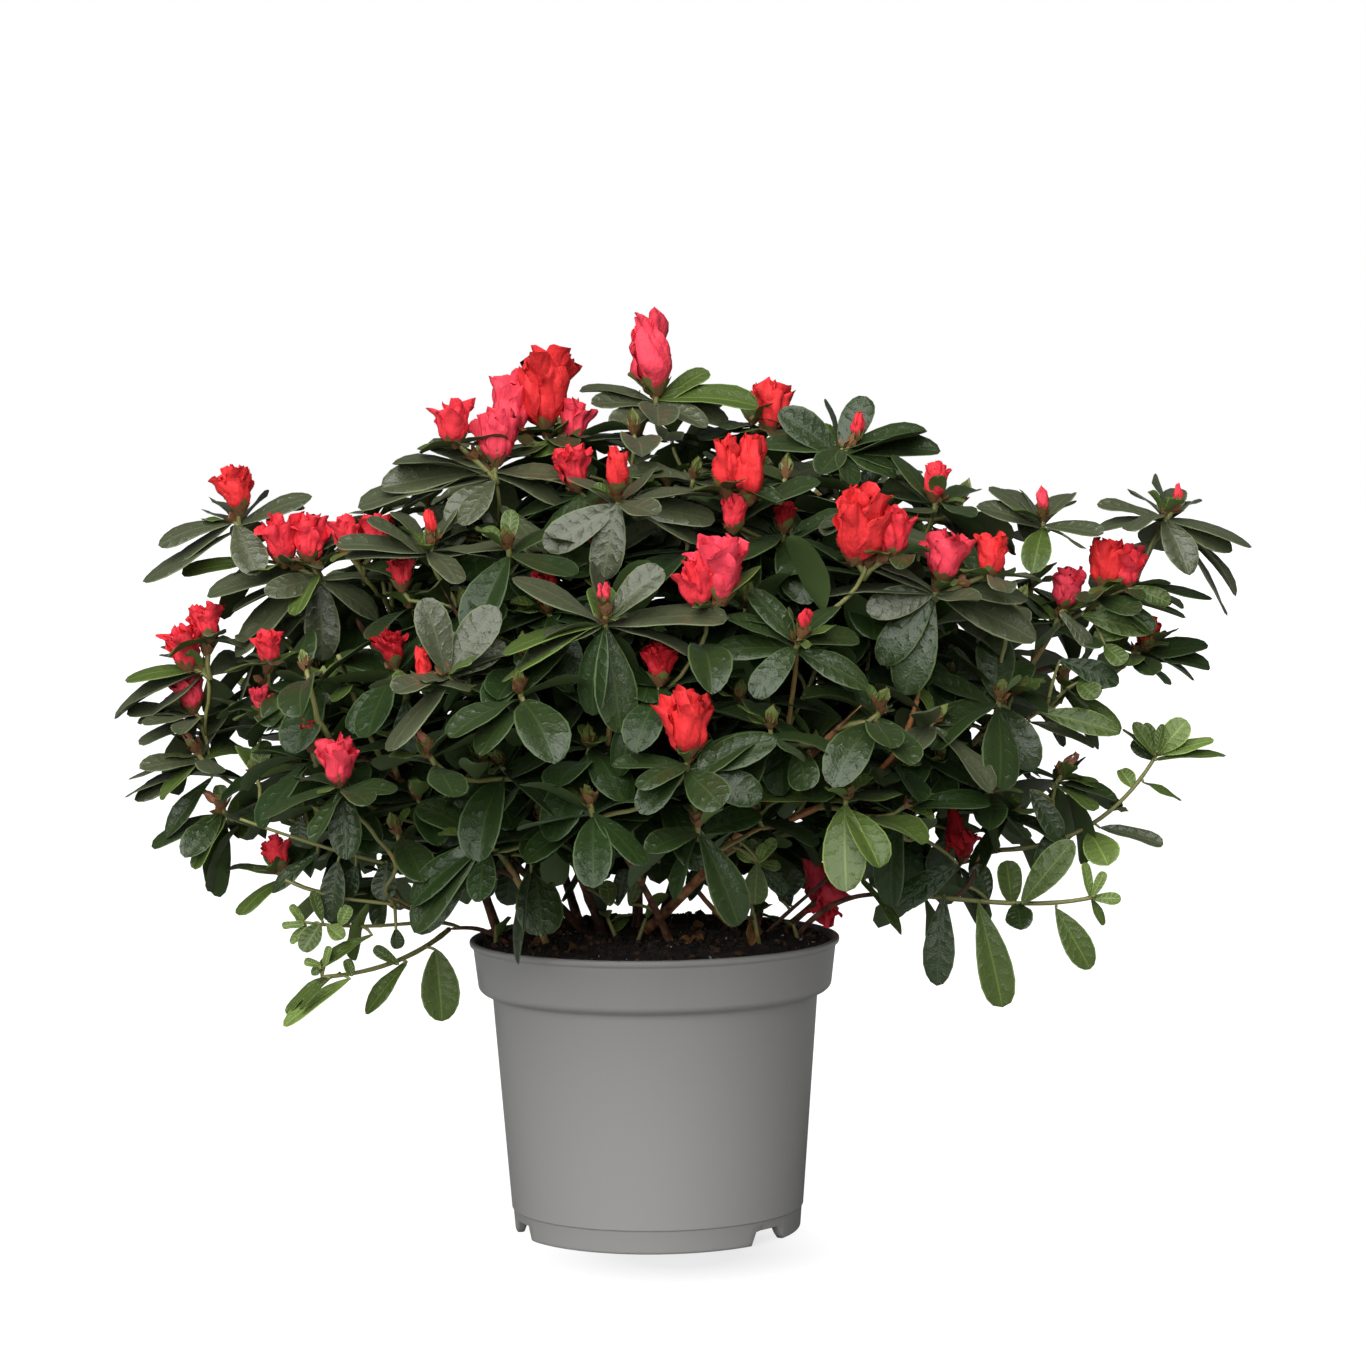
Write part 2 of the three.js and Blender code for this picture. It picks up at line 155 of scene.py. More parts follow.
# Whorls that show. For each: the place of its middle in the picture, how far it is sunk behind the
# dome in mm, its tint, the tip and seen width of its leaves, and its flowers: foot, kind and mm tall.
# The grey tint paints the sheen of the light from above on the upper whorls and those at the sides, the deep
# tint paints shade on low and sunk ones, and the flowers sunk deep inside take a darker copy of the red as
# painted shade.
SEEN_WHORLS = [
    ((655, 399), 0, "grey", [(579, 392, 13), (592, 404, 18), (709, 371, 18, "fresh"),
        (758, 407, 24, "fresh"), (658, 421, 40), (706, 428, 20), (728, 425, 20), (612, 428, 24)],
        [(657, 388, "candle", 34)]),
    ((492, 470), -4, "grey", [(428, 443, 18), (392, 465, 11), (382, 488, 30), (360, 508, 20),
        (399, 516, 15), (449, 522, 24), (466, 524, 22), (563, 506, 15), (577, 478, 16), (590, 487, 12)],
        [(497, 459, "bloom", 22), (455, 441, "bloom", 18)]),
    ((548, 440), 6, "mid", [(518, 456, 13), (640, 441, 12), (505, 430, 12), (575, 446, 14)],
        [(545, 424, "bloom", 31), (512, 434, "bloom", 25), (574, 436, "bloom", 16)]),
    ((752, 424), 6, "mid", [(700, 440, 14), (790, 432, 10), (720, 428, 12)], [(770, 428, "bloom", 21)]),
    ((842, 448), 0, "mid", [(779, 411, 32), (762, 445, 20), (827, 400, 8), (868, 397, 30), (927, 432, 14),
        (940, 452, 26), (818, 474, 26), (846, 483, 22), (893, 478, 20), (905, 470, 18)],
        [(856, 440, "red_bud", 10)]),
    ((938, 503), 0, "mid", [(980, 492, 17), (893, 455, 18), (903, 480, 18), (966, 516, 12), (905, 510, 12)],
        [(934, 494, "bloom", 14)]),
    ((1043, 520), 0, "grey", [(990, 488, 13), (976, 507, 20), (1007, 491, 14), (1029, 495, 8),
        (1076, 496, 18), (1043, 506, 14), (1100, 533, 16), (1078, 547, 9), (985, 518, 14),
        (1028, 573, 28, "fresh")], [(1043, 514, "red_bud", 10)]),
    ((1165, 514), 0, "grey", [(1098, 505, 14), (1091, 534, 11), (1122, 530, 11), (1135, 494, 9),
        (1158, 483, 7), (1184, 490, 24), (1204, 504, 13), (1232, 551, 22), (1252, 548, 15), (1235, 597, 10),
        (1226, 615, 14), (1185, 574, 32)], [(1176, 506, "red_bud", 8)]),
    ((1100, 592), 0, "mid", [(1172, 603, 16), (1185, 618, 9), (1133, 610, 22), (1150, 632, 18),
        (1080, 600, 14)], [(1104, 583, "bloom", 20), (1126, 584, "bloom", 17)]),
    ((1058, 618), 0, "mid", [(1018, 616, 20, "fresh"), (1096, 646, 14), (1022, 590, 12, "fresh"),
        (1040, 640, 10)], [(1065, 604, "bloom", 17)]),
    ((1135, 650), 16, "mid", [(1208, 646, 22), (1210, 669, 20), (1192, 680, 7), (1160, 680, 10),
        (1146, 672, 24), (1122, 662, 22, "fresh"), (1095, 636, 20, "fresh"), (1182, 632, 6)],
        [(1146, 644, "bloom", 13)]),
    ((234, 521), 0, "grey", [(312, 497, 20), (303, 509, 9), (206, 503, 11), (201, 514, 9), (158, 546, 17),
        (176, 560, 13), (144, 581, 17), (262, 573, 34), (262, 497, 6)], [(240, 507, "bloom", 18)]),
    ((318, 570), 0, "grey", [(208, 597, 24), (233, 612, 14), (237, 656, 30), (268, 592, 26), (378, 620, 22),
        (323, 660, 34), (300, 613, 18, "fresh"), (268, 630, 20, "fresh"), (400, 576, 12)],
        [(284, 561, "bloom", 20), (309, 557, "bloom", 18)]),
    ((428, 550), 0, "grey", [(367, 519, 11), (391, 514, 13), (337, 545, 16), (523, 543, 13), (501, 563, 10),
        (462, 582, 20), (451, 512, 14), (345, 558, 14)], [(433, 537, "red_bud", 10)]),
    ((358, 562), 20, "mid", [], [(348, 550, "bloom", 15), (378, 548, "bloom", 15)]),
    ((203, 668), 0, "grey", [(158, 648, 11), (158, 658, 8), (125, 681, 15, "fresh"), (115, 720, 18),
        (138, 723, 9), (240, 662, 26)], [(188, 666, "bloom", 18), (210, 636, "bloom", 15)]),
    ((195, 714), 6, "grey", [(145, 712, 11), (142, 743, 13), (150, 722, 9), (188, 730, 20)],
        [(193, 706, "bloom", 16)]),
    ((200, 757), 0, "grey", [(128, 780, 7), (125, 798, 9), (135, 800, 17), (168, 796, 15, "fresh"),
        (144, 766, 18), (167, 738, 10), (220, 717, 20), (237, 752, 16, "fresh"), (222, 768, 18)],
        [(195, 747, "faded", 7)]),
    ((340, 786), 0, "mid", [(262, 820, 13), (318, 840, 17), (348, 858, 30), (293, 786, 10), (400, 788, 16),
        (375, 800, 16)], [(339, 780, "bloom", 18)]),
    ((605, 622), 0, "grey", [(512, 579, 17), (503, 655, 16, "fresh"), (529, 658, 20),
        (503, 682, 9, "fresh"), (592, 565, 12), (664, 569, 26), (727, 619, 20), (693, 657, 11),
        (621, 732, 38, "mid"), (593, 716, 26, "deep"), (598, 592, 26, "fresh")],
        [(606, 604, "red_bud", 8)]),
    ((618, 500), 0, "grey", [(545, 548, 34), (570, 480, 13), (699, 545, 22), (714, 520, 28), (658, 514, 22),
        (715, 497, 13), (655, 470, 10), (603, 580, 32)], [(617, 487, "tight", 17)]),
    ((797, 642), 0, "mid", [(751, 592, 22), (723, 619, 14), (715, 651, 22), (752, 697, 26), (868, 688, 26),
        (860, 640, 18), (840, 610, 16)], [(803, 630, "red_bud", 9)]),
    ((936, 590), 0, "grey", [(842, 560, 14), (865, 557, 11), (820, 598, 14), (866, 611, 30), (976, 598, 15),
        (1028, 600, 24), (1035, 640, 36), (905, 695, 40, "mid"), (880, 665, 34, "mid")],
        [(943, 577, "bloom", 20), (990, 572, "bloom", 16)]),
    ((688, 762), 0, "mid", [(612, 766, 14), (638, 785, 18), (640, 811, 24), (722, 801, 36), (762, 798, 32),
        (776, 740, 30)], [(688, 751, "bloom", 24)]),
    ((446, 674), 0, "grey", [(424, 598, 32), (497, 608, 36), (502, 645, 26), (490, 672, 16),
        (395, 690, 18)], [(424, 679, "tight", 14)]),
    ((866, 566), 4, "mid", [], [(854, 558, "bloom", 29), (893, 552, "bloom", 19)]),
    ((708, 608), 4, "mid", [(762, 566, 10, "fresh")], [(700, 603, "bloom", 19), (722, 598, "bloom", 25)]),
    ((735, 508), 2, "mid", [], [(725, 487, "tight", 22), (748, 498, "tight", 26), (733, 526, "bloom", 13)]),
    ((430, 756), 0, "mid", [], [(428, 746, "faded", 8)]),
    ((276, 872), 0, "fresh", [(300, 866, 10), (224, 873, 8), (243, 911, 15)], [(281, 864, "bloom", 13)]),
    ((222, 812), 0, "mid", [(152, 847, 17), (190, 853, 28), (200, 866, 16, "fresh"), (262, 822, 14)],
        [(222, 804, "faded", 8)]),
    ((1062, 778), 0, "mid", [(1087, 766, 10), (1112, 798, 13), (1088, 806, 14, "fresh")],
        [(1062, 770, "faded", 8)]),
    ((784, 532), 24, "mid", [], [(784, 524, "dark", 10)]),
    ((577, 490), 24, "mid", [], [(577, 484, "bloom", 17)]),
    ((602, 556), 30, "mid", [], [(602, 548, "dark", 12)]),
    ((548, 612), 32, "deep", [], [(548, 604, "dark", 14)]),
    ((402, 590), 20, "mid", [], [(402, 584, "bloom", 12)]),
    ((394, 668), 24, "deep", [], [(394, 660, "dark", 13)]),
    ((660, 684), 14, "deep", [], [(660, 678, "dark", 15)]),
    ((264, 682), 18, "mid", [], [(270, 660, "bloom", 13), (262, 708, "bloom", 10)]),
    ((312, 752), 26, "deep", [], [(312, 744, "dark", 11)]),
    ((962, 862), 34, "deep", [], [(962, 856, "dark", 13)]),
    ((1066, 690), 0, "mid", [(1104, 685, 24, "fresh"), (1074, 698, 9), (1119, 684, 20),
        (1118, 733, 22, "fresh"), (1095, 748, 13)], [(1062, 676, "green_bud", 8)]),
    ((508, 548), 8, "deep", [], [(508, 540, "green_bud", 8)]),
    ((520, 692), 0, "mid", [], [(520, 684, "green_bud", 8)]),
    ((880, 712), 0, "mid", [], [(880, 704, "green_bud", 9)]),
    ((1000, 700), 0, "mid", [], [(1000, 692, "green_bud", 8)]),
    ((590, 806), 0, "deep", [], [(590, 798, "green_bud", 7)]),
    ((698, 826), 0, "deep", [(645, 848, 22, "mid"), (738, 925, 34, "mid"), (760, 818, 24), (676, 900, 14)],
        [(698, 816, "green_bud", 9)]),
    ((480, 838), 0, "mid", [(514, 834, 22), (415, 932, 36), (482, 898, 26, "deep"), (412, 906, 26, "deep")],
        []),
    ((905, 806), 4, "deep", [(893, 908, 24, "deep"), (990, 805, 20)], []),
    ((386, 872), 0, "mid", [(324, 892, 18), (338, 926, 18), (386, 922, 18), (350, 885, 9)], []),
    ((1010, 810), 0, "mid", [(1018, 830, 12), (1062, 842, 14), (972, 880, 18)], []),
    ((846, 798), -6, "fresh", [(845, 889, 40, "fresh"), (870, 780, 12)], []),
]

# Leaves that show on their own or hang clear: base, tip and seen width, tint, and mm behind the axis.
# As in the whorls, the grey tint paints sheen and the deep tint paints shade.
SEEN_LEAVES = [
    (534, 862, 543, 932, 46, "mid", -66), (531, 872, 519, 964, 11, "mid", -74),
    (757, 864, 755, 905, 24, "fresh", -58), (487, 856, 484, 898, 26, "deep", -50),
    (436, 950, 442, 1021, 37, "fresh", -34), (407, 962, 366, 1014, 15, "fresh", -46),
    (372, 935, 318, 970, 11, "fresh", -60), (350, 979, 284, 1026, 12, "young", -62),
    (322, 978, 286, 1014, 9, "fresh", -58), (330, 978, 300, 1010, 6, "fresh", -66),
    (396, 930, 398, 950, 12, "mid", -60), (398, 964, 373, 947, 10, "fresh", -48),
    (352, 975, 346, 958, 9, "fresh", -62), (944, 896, 937, 985, 30, "mid", -34),
    (978, 902, 1002, 1006, 34, "fresh", -34), (1056, 909, 1090, 969, 28, "fresh", -34),
    (861, 880, 901, 935, 10, "fresh", -36), (1022, 903, 1073, 841, 30, "fresh", -36),
    (1018, 903, 1018, 926, 26, "mid", -30), (1100, 828, 1163, 845, 12, "grey", -8),
    (1090, 832, 1104, 861, 34, "young", -10), (1133, 788, 1122, 770, 16, "young", -8),
    (1143, 782, 1182, 801, 7, "fresh", -10), (1137, 583, 1212, 599, 9, "mid", -12),
    (1093, 898, 1122, 899, 11, "young", -34), (1090, 898, 1084, 862, 9, "young", -34),
    (1093, 896, 1105, 871, 9, "young", -36), (1092, 900, 1104, 926, 8, "fresh", -32),
    (1155, 757, 1122, 729, 6, "fresh", -8), (1155, 755, 1133, 722, 13, "fresh", -10),
    (1156, 752, 1145, 722, 12, "fresh", -6), (1157, 752, 1163, 723, 8, "fresh", -12),
    (1158, 754, 1187, 720, 26, "young", -8), (1158, 756, 1214, 740, 12, "young", -8),
    (1156, 760, 1226, 756, 9, "fresh", -10), (1155, 760, 1131, 741, 15, "mid", -6),
    (303, 922, 290, 904, 7, "young", -56), (303, 924, 281, 926, 6, "young", -58),
    (306, 926, 290, 944, 8, "young", -56), (320, 924, 303, 951, 20, "fresh", -60),
    (322, 920, 312, 890, 9, "fresh", -54), (328, 926, 345, 938, 14, "young", -58),
    (340, 925, 350, 905, 12, "young", -54), (320, 965, 303, 961, 7, "young", -60),
    (325, 965, 330, 945, 6, "young", -62), (322, 968, 310, 974, 7, "fresh", -60),
    (478, 858, 416, 932, 34, "mid", -52), (318, 853, 272, 893, 13, "mid", -40),
    (1082, 615, 1150, 632, 22, "fresh", -22), (1060, 660, 1119, 683, 23, "deep", -26),
    (1105, 645, 1122, 663, 20, "fresh", -24), (1140, 632, 1093, 636, 13, "fresh", -20),
    (1133, 588, 1171, 603, 18, "fresh", -16), (1060, 612, 1092, 648, 13, "grey", -30),
    (1030, 722, 1094, 748, 13, "grey", -30), (1040, 712, 1118, 732, 22, "fresh", -34),
    (1078, 682, 1096, 697, 20, "fresh", -26), (610, 905, 606, 880, 16, "fresh", -34),
    (630, 905, 640, 872, 14, "fresh", -34), (618, 905, 625, 868, 15, "mid", -30),
    (690, 900, 700, 868, 18, "mid", -20), (780, 900, 800, 870, 22, "mid", -20),
    (790, 905, 776, 872, 18, "mid", -14), (1012, 905, 1006, 860, 26, "fresh", -20),
    (988, 900, 976, 864, 22, "mid", -16), (212, 778, 166, 838, 18, "mid", -14),
    (250, 562, 182, 574, 15, "fresh", -6), (1030, 790, 1060, 838, 22, "mid", -22),
    (512, 860, 507, 906, 26, "deep", -40), (338, 862, 331, 922, 26, "mid", -50),
    (387, 862, 384, 900, 24, "mid", -50), (300, 818, 299, 848, 18, "mid", -40),
    (356, 866, 345, 900, 18, "deep", -46), (1052, 828, 1046, 878, 26, "deep", -20),
    (950, 830, 935, 880, 26, "deep", -24), (756, 862, 736, 852, 9, "young", -60),
    (757, 861, 750, 838, 9, "fresh", -60), (759, 861, 776, 838, 11, "young", -60),
    (760, 863, 782, 867, 9, "fresh", -60), (758, 860, 764, 842, 7, "young", -62),
    (760, 868, 787, 894, 15, "deep", -56), (958, 864, 893, 906, 28, "deep", -46),
]

# Gaps that show between the leaves: place in the picture and radius. 37 of the 42 places were taken from
# a list, made by a scratch program, of where the photo is white and a render wasn't. The other places
# and all the radii were chosen.
SEEN_GAPS = [
    (1113, 702, 24), (1125, 481, 20), (1102, 741, 12), (1041, 738, 14), (1116, 859, 12), (415, 939, 22),
    (283, 907, 20), (294, 948, 22), (242, 856, 16), (240, 886, 16), (190, 858, 14), (280, 824, 14),
    (362, 874, 12), (319, 877, 14), (341, 942, 14), (376, 983, 12), (797, 812, 14), (853, 900, 18),
    (1009, 923, 16), (958, 911, 12), (661, 439, 12), (650, 884, 12), (592, 884, 9), (614, 880, 8),
    (954, 464, 18), (346, 1004, 16), (606, 374, 16), (1080, 523, 14), (424, 933, 20), (1002, 932, 18),
    (204, 798, 10), (375, 486, 16), (1138, 696, 20), (1060, 934, 20), (1159, 584, 12), (1096, 754, 14),
    (159, 560, 12), (383, 980, 12), (571, 381, 9), (646, 887, 10), (484, 395, 9), (252, 895, 14),
]
OPEN_TO_SKY = 1000.0  # mm behind the axis: past the whole plant

# Twigs that show: course in the picture, mm behind the axis (or each of its four places), radius and
# wood. Those with no depth lie a little way inside the dome. Those with four depths start on a bough, at
# a place that a scratch program worked out from the bough's course.
SEEN_TWIGS = [
    ([(546, 943), (516, 870), (486, 838), (457, 800)], -46, 1.5, "tan"),
    ([(486, 838), (440, 828), (400, 822), (345, 790)], -50, 1.0, "young"),
    ([(449, 929), (432, 942), (392, 968), (322, 977)], (-15, -30, -48, -60), 1.1, "young"),
    ([(460, 928), (428, 918), (380, 930), (303, 922)], (-14, -28, -44, -56), 0.8, "young"),
    ([(604, 802), (606, 775), (612, 735), (607, 640)], None, 1.4, "tan"),
    ([(790, 820), (840, 795), (890, 775), (917, 700)], None, 1.4, "orange"),
    ([(925, 798), (955, 765), (1010, 700), (1058, 622)], None, 1.4, "tan"),
    ([(780, 790), (786, 730), (794, 690), (797, 650)], None, 1.2, "tan"),
    ([(889, 895), (938, 895), (1020, 908), (1094, 897)], (-17, -24, -30, -34), 1.1, "young"),
    ([(1000, 850), (1077, 840), (1125, 800), (1157, 754)], -8, 1.0, "young"),
    ([(1090, 650), (1120, 600), (1138, 578), (1163, 520)], None, 1.3, "young"),
    ([(310, 830), (260, 800), (225, 780), (200, 760)], None, 0.9, "young"),
    ([(420, 870), (380, 862), (336, 852), (240, 819)], -44, 0.9, "young"),
    ([(400, 905), (360, 900), (330, 898), (285, 880)], -50, 0.8, "young"),
    ([(606, 939), (600, 915), (588, 892), (577, 872)], -6, 1.1, "brown"),
    ([(632, 935), (637, 905), (643, 882), (649, 862)], 8, 1.2, "brown"),
    ([(743, 938), (730, 924), (711, 909), (690, 880)], -12, 1.3, "orange"),
    ([(767, 932), (788, 912), (808, 895), (833, 874)], -16, 0.9, "brown"),
    ([(380, 760), (362, 725), (353, 692), (338, 655)], None, 1.2, "young"),
]
TWIG_SINK = np.array([42, 33, 24, 16])  # how far inside, at each of the four places
FORK_REACH = 11  # how near other wood a twig starts right at it

# Flowers that show away from any whorl: foot, mm behind the axis, axis, kind, tint and mm tall.
SEEN_FLOWERS = [
    (806, 850, 4, (0.35, -0.15, -0.9), "withered", "pink", 26),
    (823, 882, 2, (0.2, -0.2, -0.9), "withered", "red", 17),
    # This flower takes the darker copy of the red: partly its own withered colour, partly painted shade.
    (952, 806, -24, (0.08, -0.2, -0.9), "withered", "crimson", 19),
]

# Tufts of young leaves that stand on the peat: across, back and height in mm, and leaf length.
TUFTS = [(-14, -34, 17, 13), (-7, -30, 18, 13), (-64, -14, 16, 12), (42, -36, 30, 15), (58, -14, 12, 16)]

# Dry leaves on the peat: across, back, length in mm, which way they point and how steeply.
FALLEN_LEAVES = [
    (38, -40, 13, 1.2, 0.9), (8, -44, 9, 0.3, 0.1), (20, -38, 8, 2.4, 0.2), (-30, -40, 8, 4.0, 0.1),
    (-46, -24, 9, 1.9, 0.2), (14, 6, 11, 5.2, 0.1), (-12, 26, 10, 3.3, 0.2), (50, 14, 9, 0.9, 0.1),
    (-40, 30, 10, 2.7, 0.1), (26, 50, 11, 4.6, 0.2),
]

# Stems, as part of the frame: foot on the soil, the mass they head for, girth and rise.
BOUGHS = [
    ("bough_leaning_right", (-9, -4), "flank_1", 3.6, 22),
    ("bough_middle", (-7, 10), "top", 3.2, 70),
    ("bough_front_left", (-19, -12), "shoulder_6", 2.7, 50),
    ("bough_left", (-25, 3), "flank_7", 2.8, 34),
    ("bough_left_edge", (-62, 6), "shoulder_5", 3.0, 60),
    ("bough_back_left", (-30, 24), "shoulder_4", 3.0, 50),
    ("bough_right", (39, -5), "top_right", 4.0, 60),
    ("bough_front_right", (31, 3), "crown_0", 2.6, 50),
    ("bough_right_edge", (47, 5), "flank_2", 2.2, 24),
    ("bough_back_right", (31, 26), "shoulder_3", 3.0, 50),
    ("bough_back", (2, 36), "flank_4", 3.0, 40),
    ("bough_front", (8, -28), "flank_0", 2.5, 36),
    ("bough_low_left", (-57, -9), "shoot_lower_left", 2.0, 16),
    ("bough_low_right", (55, -8), "shoot_lower_right", 2.2, 34),
]
YOUNG_BOUGHS = ["bough_leaning_right"]
BOUGH_TIP, BOUGH_FLARE, BOUGH_FLARE_REACH, BOUGH_BURIED = 0.55, 0.3, 0.06, 4.0
# Where a bough's elbow and bend are: shares of its way out to its end, and of the rise to it.
BOUGH_ELBOW_OUT, BOUGH_BEND_OUT, BOUGH_BEND_UP = 0.3, 0.55, 0.62
BOUGH_SLIMNESS = 0.6  # how thick the bark is beside the solid bough
BOUGH_FINE_END = 0.14  # the share of a bough that fades to a fine end, hidden among leaves
BOUGH_STEPS = 40
# How many of the steps are modelled where a bough's end would show bare between the leaves.
BOUGH_STEPS_SHOWN = {"bough_low_left": 20, "bough_low_right": 20}
STEMS_SHOW_BELOW = 152


# ------------------------------------------------------------------ small helpers

def unit(v):
    return v / np.maximum(np.linalg.norm(v, axis=-1, keepdims=True), 1e-9)


def mix(a, b, share):
    return a + (b - a) * share


def square_to(v, near):
    """A unit vector at right angles to v, as near as may be to another."""
    return unit(near - v * np.sum(near * v, axis=-1, keepdims=True))


def bezier(p0, p1, p2, p3, steps):
    t = np.linspace(0, 1, steps + 1)[:, None]
    return (1 - t) ** 3 * p0 + 3 * (1 - t) ** 2 * t * p1 + 3 * (1 - t) * t**2 * p2 + t**3 * p3


def soil_height(x, y):
    share = np.minimum(1, np.hypot(x, y) / MOUND_RADIUS)
    mound = SOIL_EDGE + (SOIL_CREST - SOIL_EDGE) * (1 - share**4)
    clods = np.sin(x / 9 + 1) * np.cos(y / 8) + 0.6 * np.sin((x + y) / 5)
    return mound + SOIL_UNEVENNESS * clods * (1 - share**6)


def new_object(name, points, loops, totals, materials, material_of_face, smooth=True):
    """A mesh object from arrays: points in mm, corner indices, corners per face."""
    mesh = bpy.data.meshes.new(name)
    mesh.vertices.add(len(points))
    mesh.vertices.foreach_set("co", (np.asarray(points, np.float32) * MM).ravel())
    mesh.loops.add(len(loops))
    mesh.loops.foreach_set("vertex_index", np.asarray(loops, np.int32))
    mesh.polygons.add(len(totals))
    starts = np.concatenate([[0], np.cumsum(totals)[:-1]])
    mesh.polygons.foreach_set("loop_start", starts.astype(np.int32))
    mesh.polygons.foreach_set("loop_total", np.asarray(totals, np.int32))
    for material in materials:
        mesh.materials.append(material)
    mesh.polygons.foreach_set("material_index", np.asarray(material_of_face, np.int32))
    mesh.polygons.foreach_set("use_smooth", np.full(len(totals), smooth))
    mesh.update(calc_edges=True)
    mesh.validate()
    made = bpy.data.objects.new(name, mesh)
    bpy.context.scene.collection.objects.link(made)
    return made


def sharpen(made, border):
    """Sharp edges between the points that border marks."""
    edges = np.zeros(len(made.data.edges) * 2, np.int32)
    made.data.edges.foreach_get("vertices", edges)
    sharp = border[edges.reshape(-1, 2)].all(axis=1)
    layer = made.data.attributes.new("sharp_edge", "BOOLEAN", "EDGE")
    layer.data.foreach_set("value", sharp)


def round_turn(sides):
    """The angles of points spread evenly round a circle."""
    return np.arange(sides) / sides * 2 * math.pi


def ring_faces(rings, sides, downwards=False):
    """The quads between rings of points that follow each other, and the two caps that close them."""
    index = np.arange(rings * sides).reshape(rings, sides)
    after = np.roll(index, -1, axis=1)
    corners = [index[:-1], after[:-1], after[1:], index[1:]]
    caps = [index[0][::-1], index[-1]]
    if downwards:
        corners = [corners[0], *corners[:0:-1]]
        caps = [cap[::-1] for cap in caps]
    return np.stack(corners, axis=-1).reshape(-1, 4), caps


def ring_object(name, points, look, downwards=False):
    """A closed object from rings of points, one after another."""
    rings, sides = points.shape[:2]
    quads, caps = ring_faces(rings, sides, downwards)
    loops = np.concatenate([quads.ravel(), *caps])
    totals = [4] * len(quads) + [sides] * 2
    return new_object(name, points.reshape(-1, 3), loops, totals, [look], [0] * len(totals))


# ------------------------------------------------------------------ materials

def node_in(tree, kind, **values):
    """A new shader node with some of its input sockets set."""
    node = tree.nodes.new("ShaderNode" + kind)
    for socket, value in values.items():
        node.inputs[socket.replace("_", " ")].default_value = value
    return node


def calculate(tree, operation, *values):
    """A Math node whose inputs are numbers or other nodes' outputs; gives its output."""
    node = tree.nodes.new("ShaderNodeMath")
    node.operation = operation
    for socket, value in zip(node.inputs, values):
        if isinstance(value, (int, float)):
            socket.default_value = value
        else:
            tree.links.new(value, socket)
    return node.outputs[0]


def shader(name, colour, roughness, **sockets):
    material = bpy.data.materials.new(name)
    material.use_nodes = True
    surface = material.node_tree.nodes["Principled BSDF"]
    surface.inputs["Base Color"].default_value = (*colour, 1)
    surface.inputs["Roughness"].default_value = roughness
    for socket, value in sockets.items():
        surface.inputs[socket.replace("_", " ")].default_value = value
    return material


def raise_surface(material, height, strength, distance):
    """Bumps on a material's surface from a height."""
    tree = material.node_tree
    bump = node_in(tree, "Bump", Strength=strength, Distance=distance)
    tree.links.new(height, bump.inputs["Height"])
    tree.links.new(bump.outputs["Normal"], tree.nodes["Principled BSDF"].inputs["Normal"])
    return material


def relief(material, scale, strength, distance, detail=3.0, stretch=(1, 1, 1)):
    """Fine bumps from noise through the solid."""
    tree = material.node_tree
    place = node_in(tree, "TexCoord")
    mapping = node_in(tree, "Mapping", Scale=stretch)
    grain = node_in(tree, "TexNoise", Scale=scale, Detail=detail)
    tree.links.new(place.outputs["Object"], mapping.inputs["Vector"])
    tree.links.new(mapping.outputs["Vector"], grain.inputs["Vector"])
    return raise_surface(material, grain.outputs["Fac"], strength, distance)


# Pairs of side veins, how they slant and waver, how steeply the blade puffs up between them, and the
# grain and dents that are added: the scale of each and how high it is beside the puffs.
VEIN_PAIRS, VEIN_SLANT, VEIN_WAVER, VEIN_STEEPNESS = 7.0, 0.9, 1.1, 0.45
LEAF_GRAIN, LEAF_DENTS = (1100, 0.9), (260, 1.5)
LEAF_BUMP = (0.5, 0.0005)


def veined(material):
    """Side veins sunk into a leaf, puffed blade between them, and a fine grain."""
    tree = material.node_tree
    place = node_in(tree, "UVMap")
    place.uv_map = "leaf"
    parts = node_in(tree, "SeparateXYZ")
    tree.links.new(place.outputs[0], parts.inputs[0])
    solid = node_in(tree, "TexCoord")
    grain, dents = (node_in(tree, "TexNoise", Scale=scale) for scale, _ in (LEAF_GRAIN, LEAF_DENTS))
    for speckle in (grain, dents):
        tree.links.new(solid.outputs["Object"], speckle.inputs["Vector"])
    from_rib = calculate(tree, "ABSOLUTE", calculate(tree, "MULTIPLY_ADD", parts.outputs["X"], 2.0, -1.0))
    waver = calculate(tree, "MULTIPLY", dents.outputs["Fac"], VEIN_WAVER)
    along = calculate(tree, "MULTIPLY_ADD", parts.outputs["Y"], VEIN_PAIRS, waver)
    phase = calculate(tree, "SUBTRACT", along, calculate(tree, "MULTIPLY", from_rib, VEIN_SLANT))
    arch = calculate(tree, "ABSOLUTE", calculate(tree, "SINE", calculate(tree, "MULTIPLY", phase, math.pi)))
    puff = calculate(tree, "POWER", arch, VEIN_STEEPNESS)
    beside_rib = calculate(tree, "MINIMUM", calculate(tree, "MULTIPLY", from_rib, 4.0), 1.0)
    height = calculate(tree, "MULTIPLY", puff, beside_rib)
    for speckle, (_, share) in ((grain, LEAF_GRAIN), (dents, LEAF_DENTS)):
        height = calculate(tree, "ADD", height, calculate(tree, "MULTIPLY", speckle.outputs["Fac"], share))
    return raise_surface(material, height, *LEAF_BUMP)


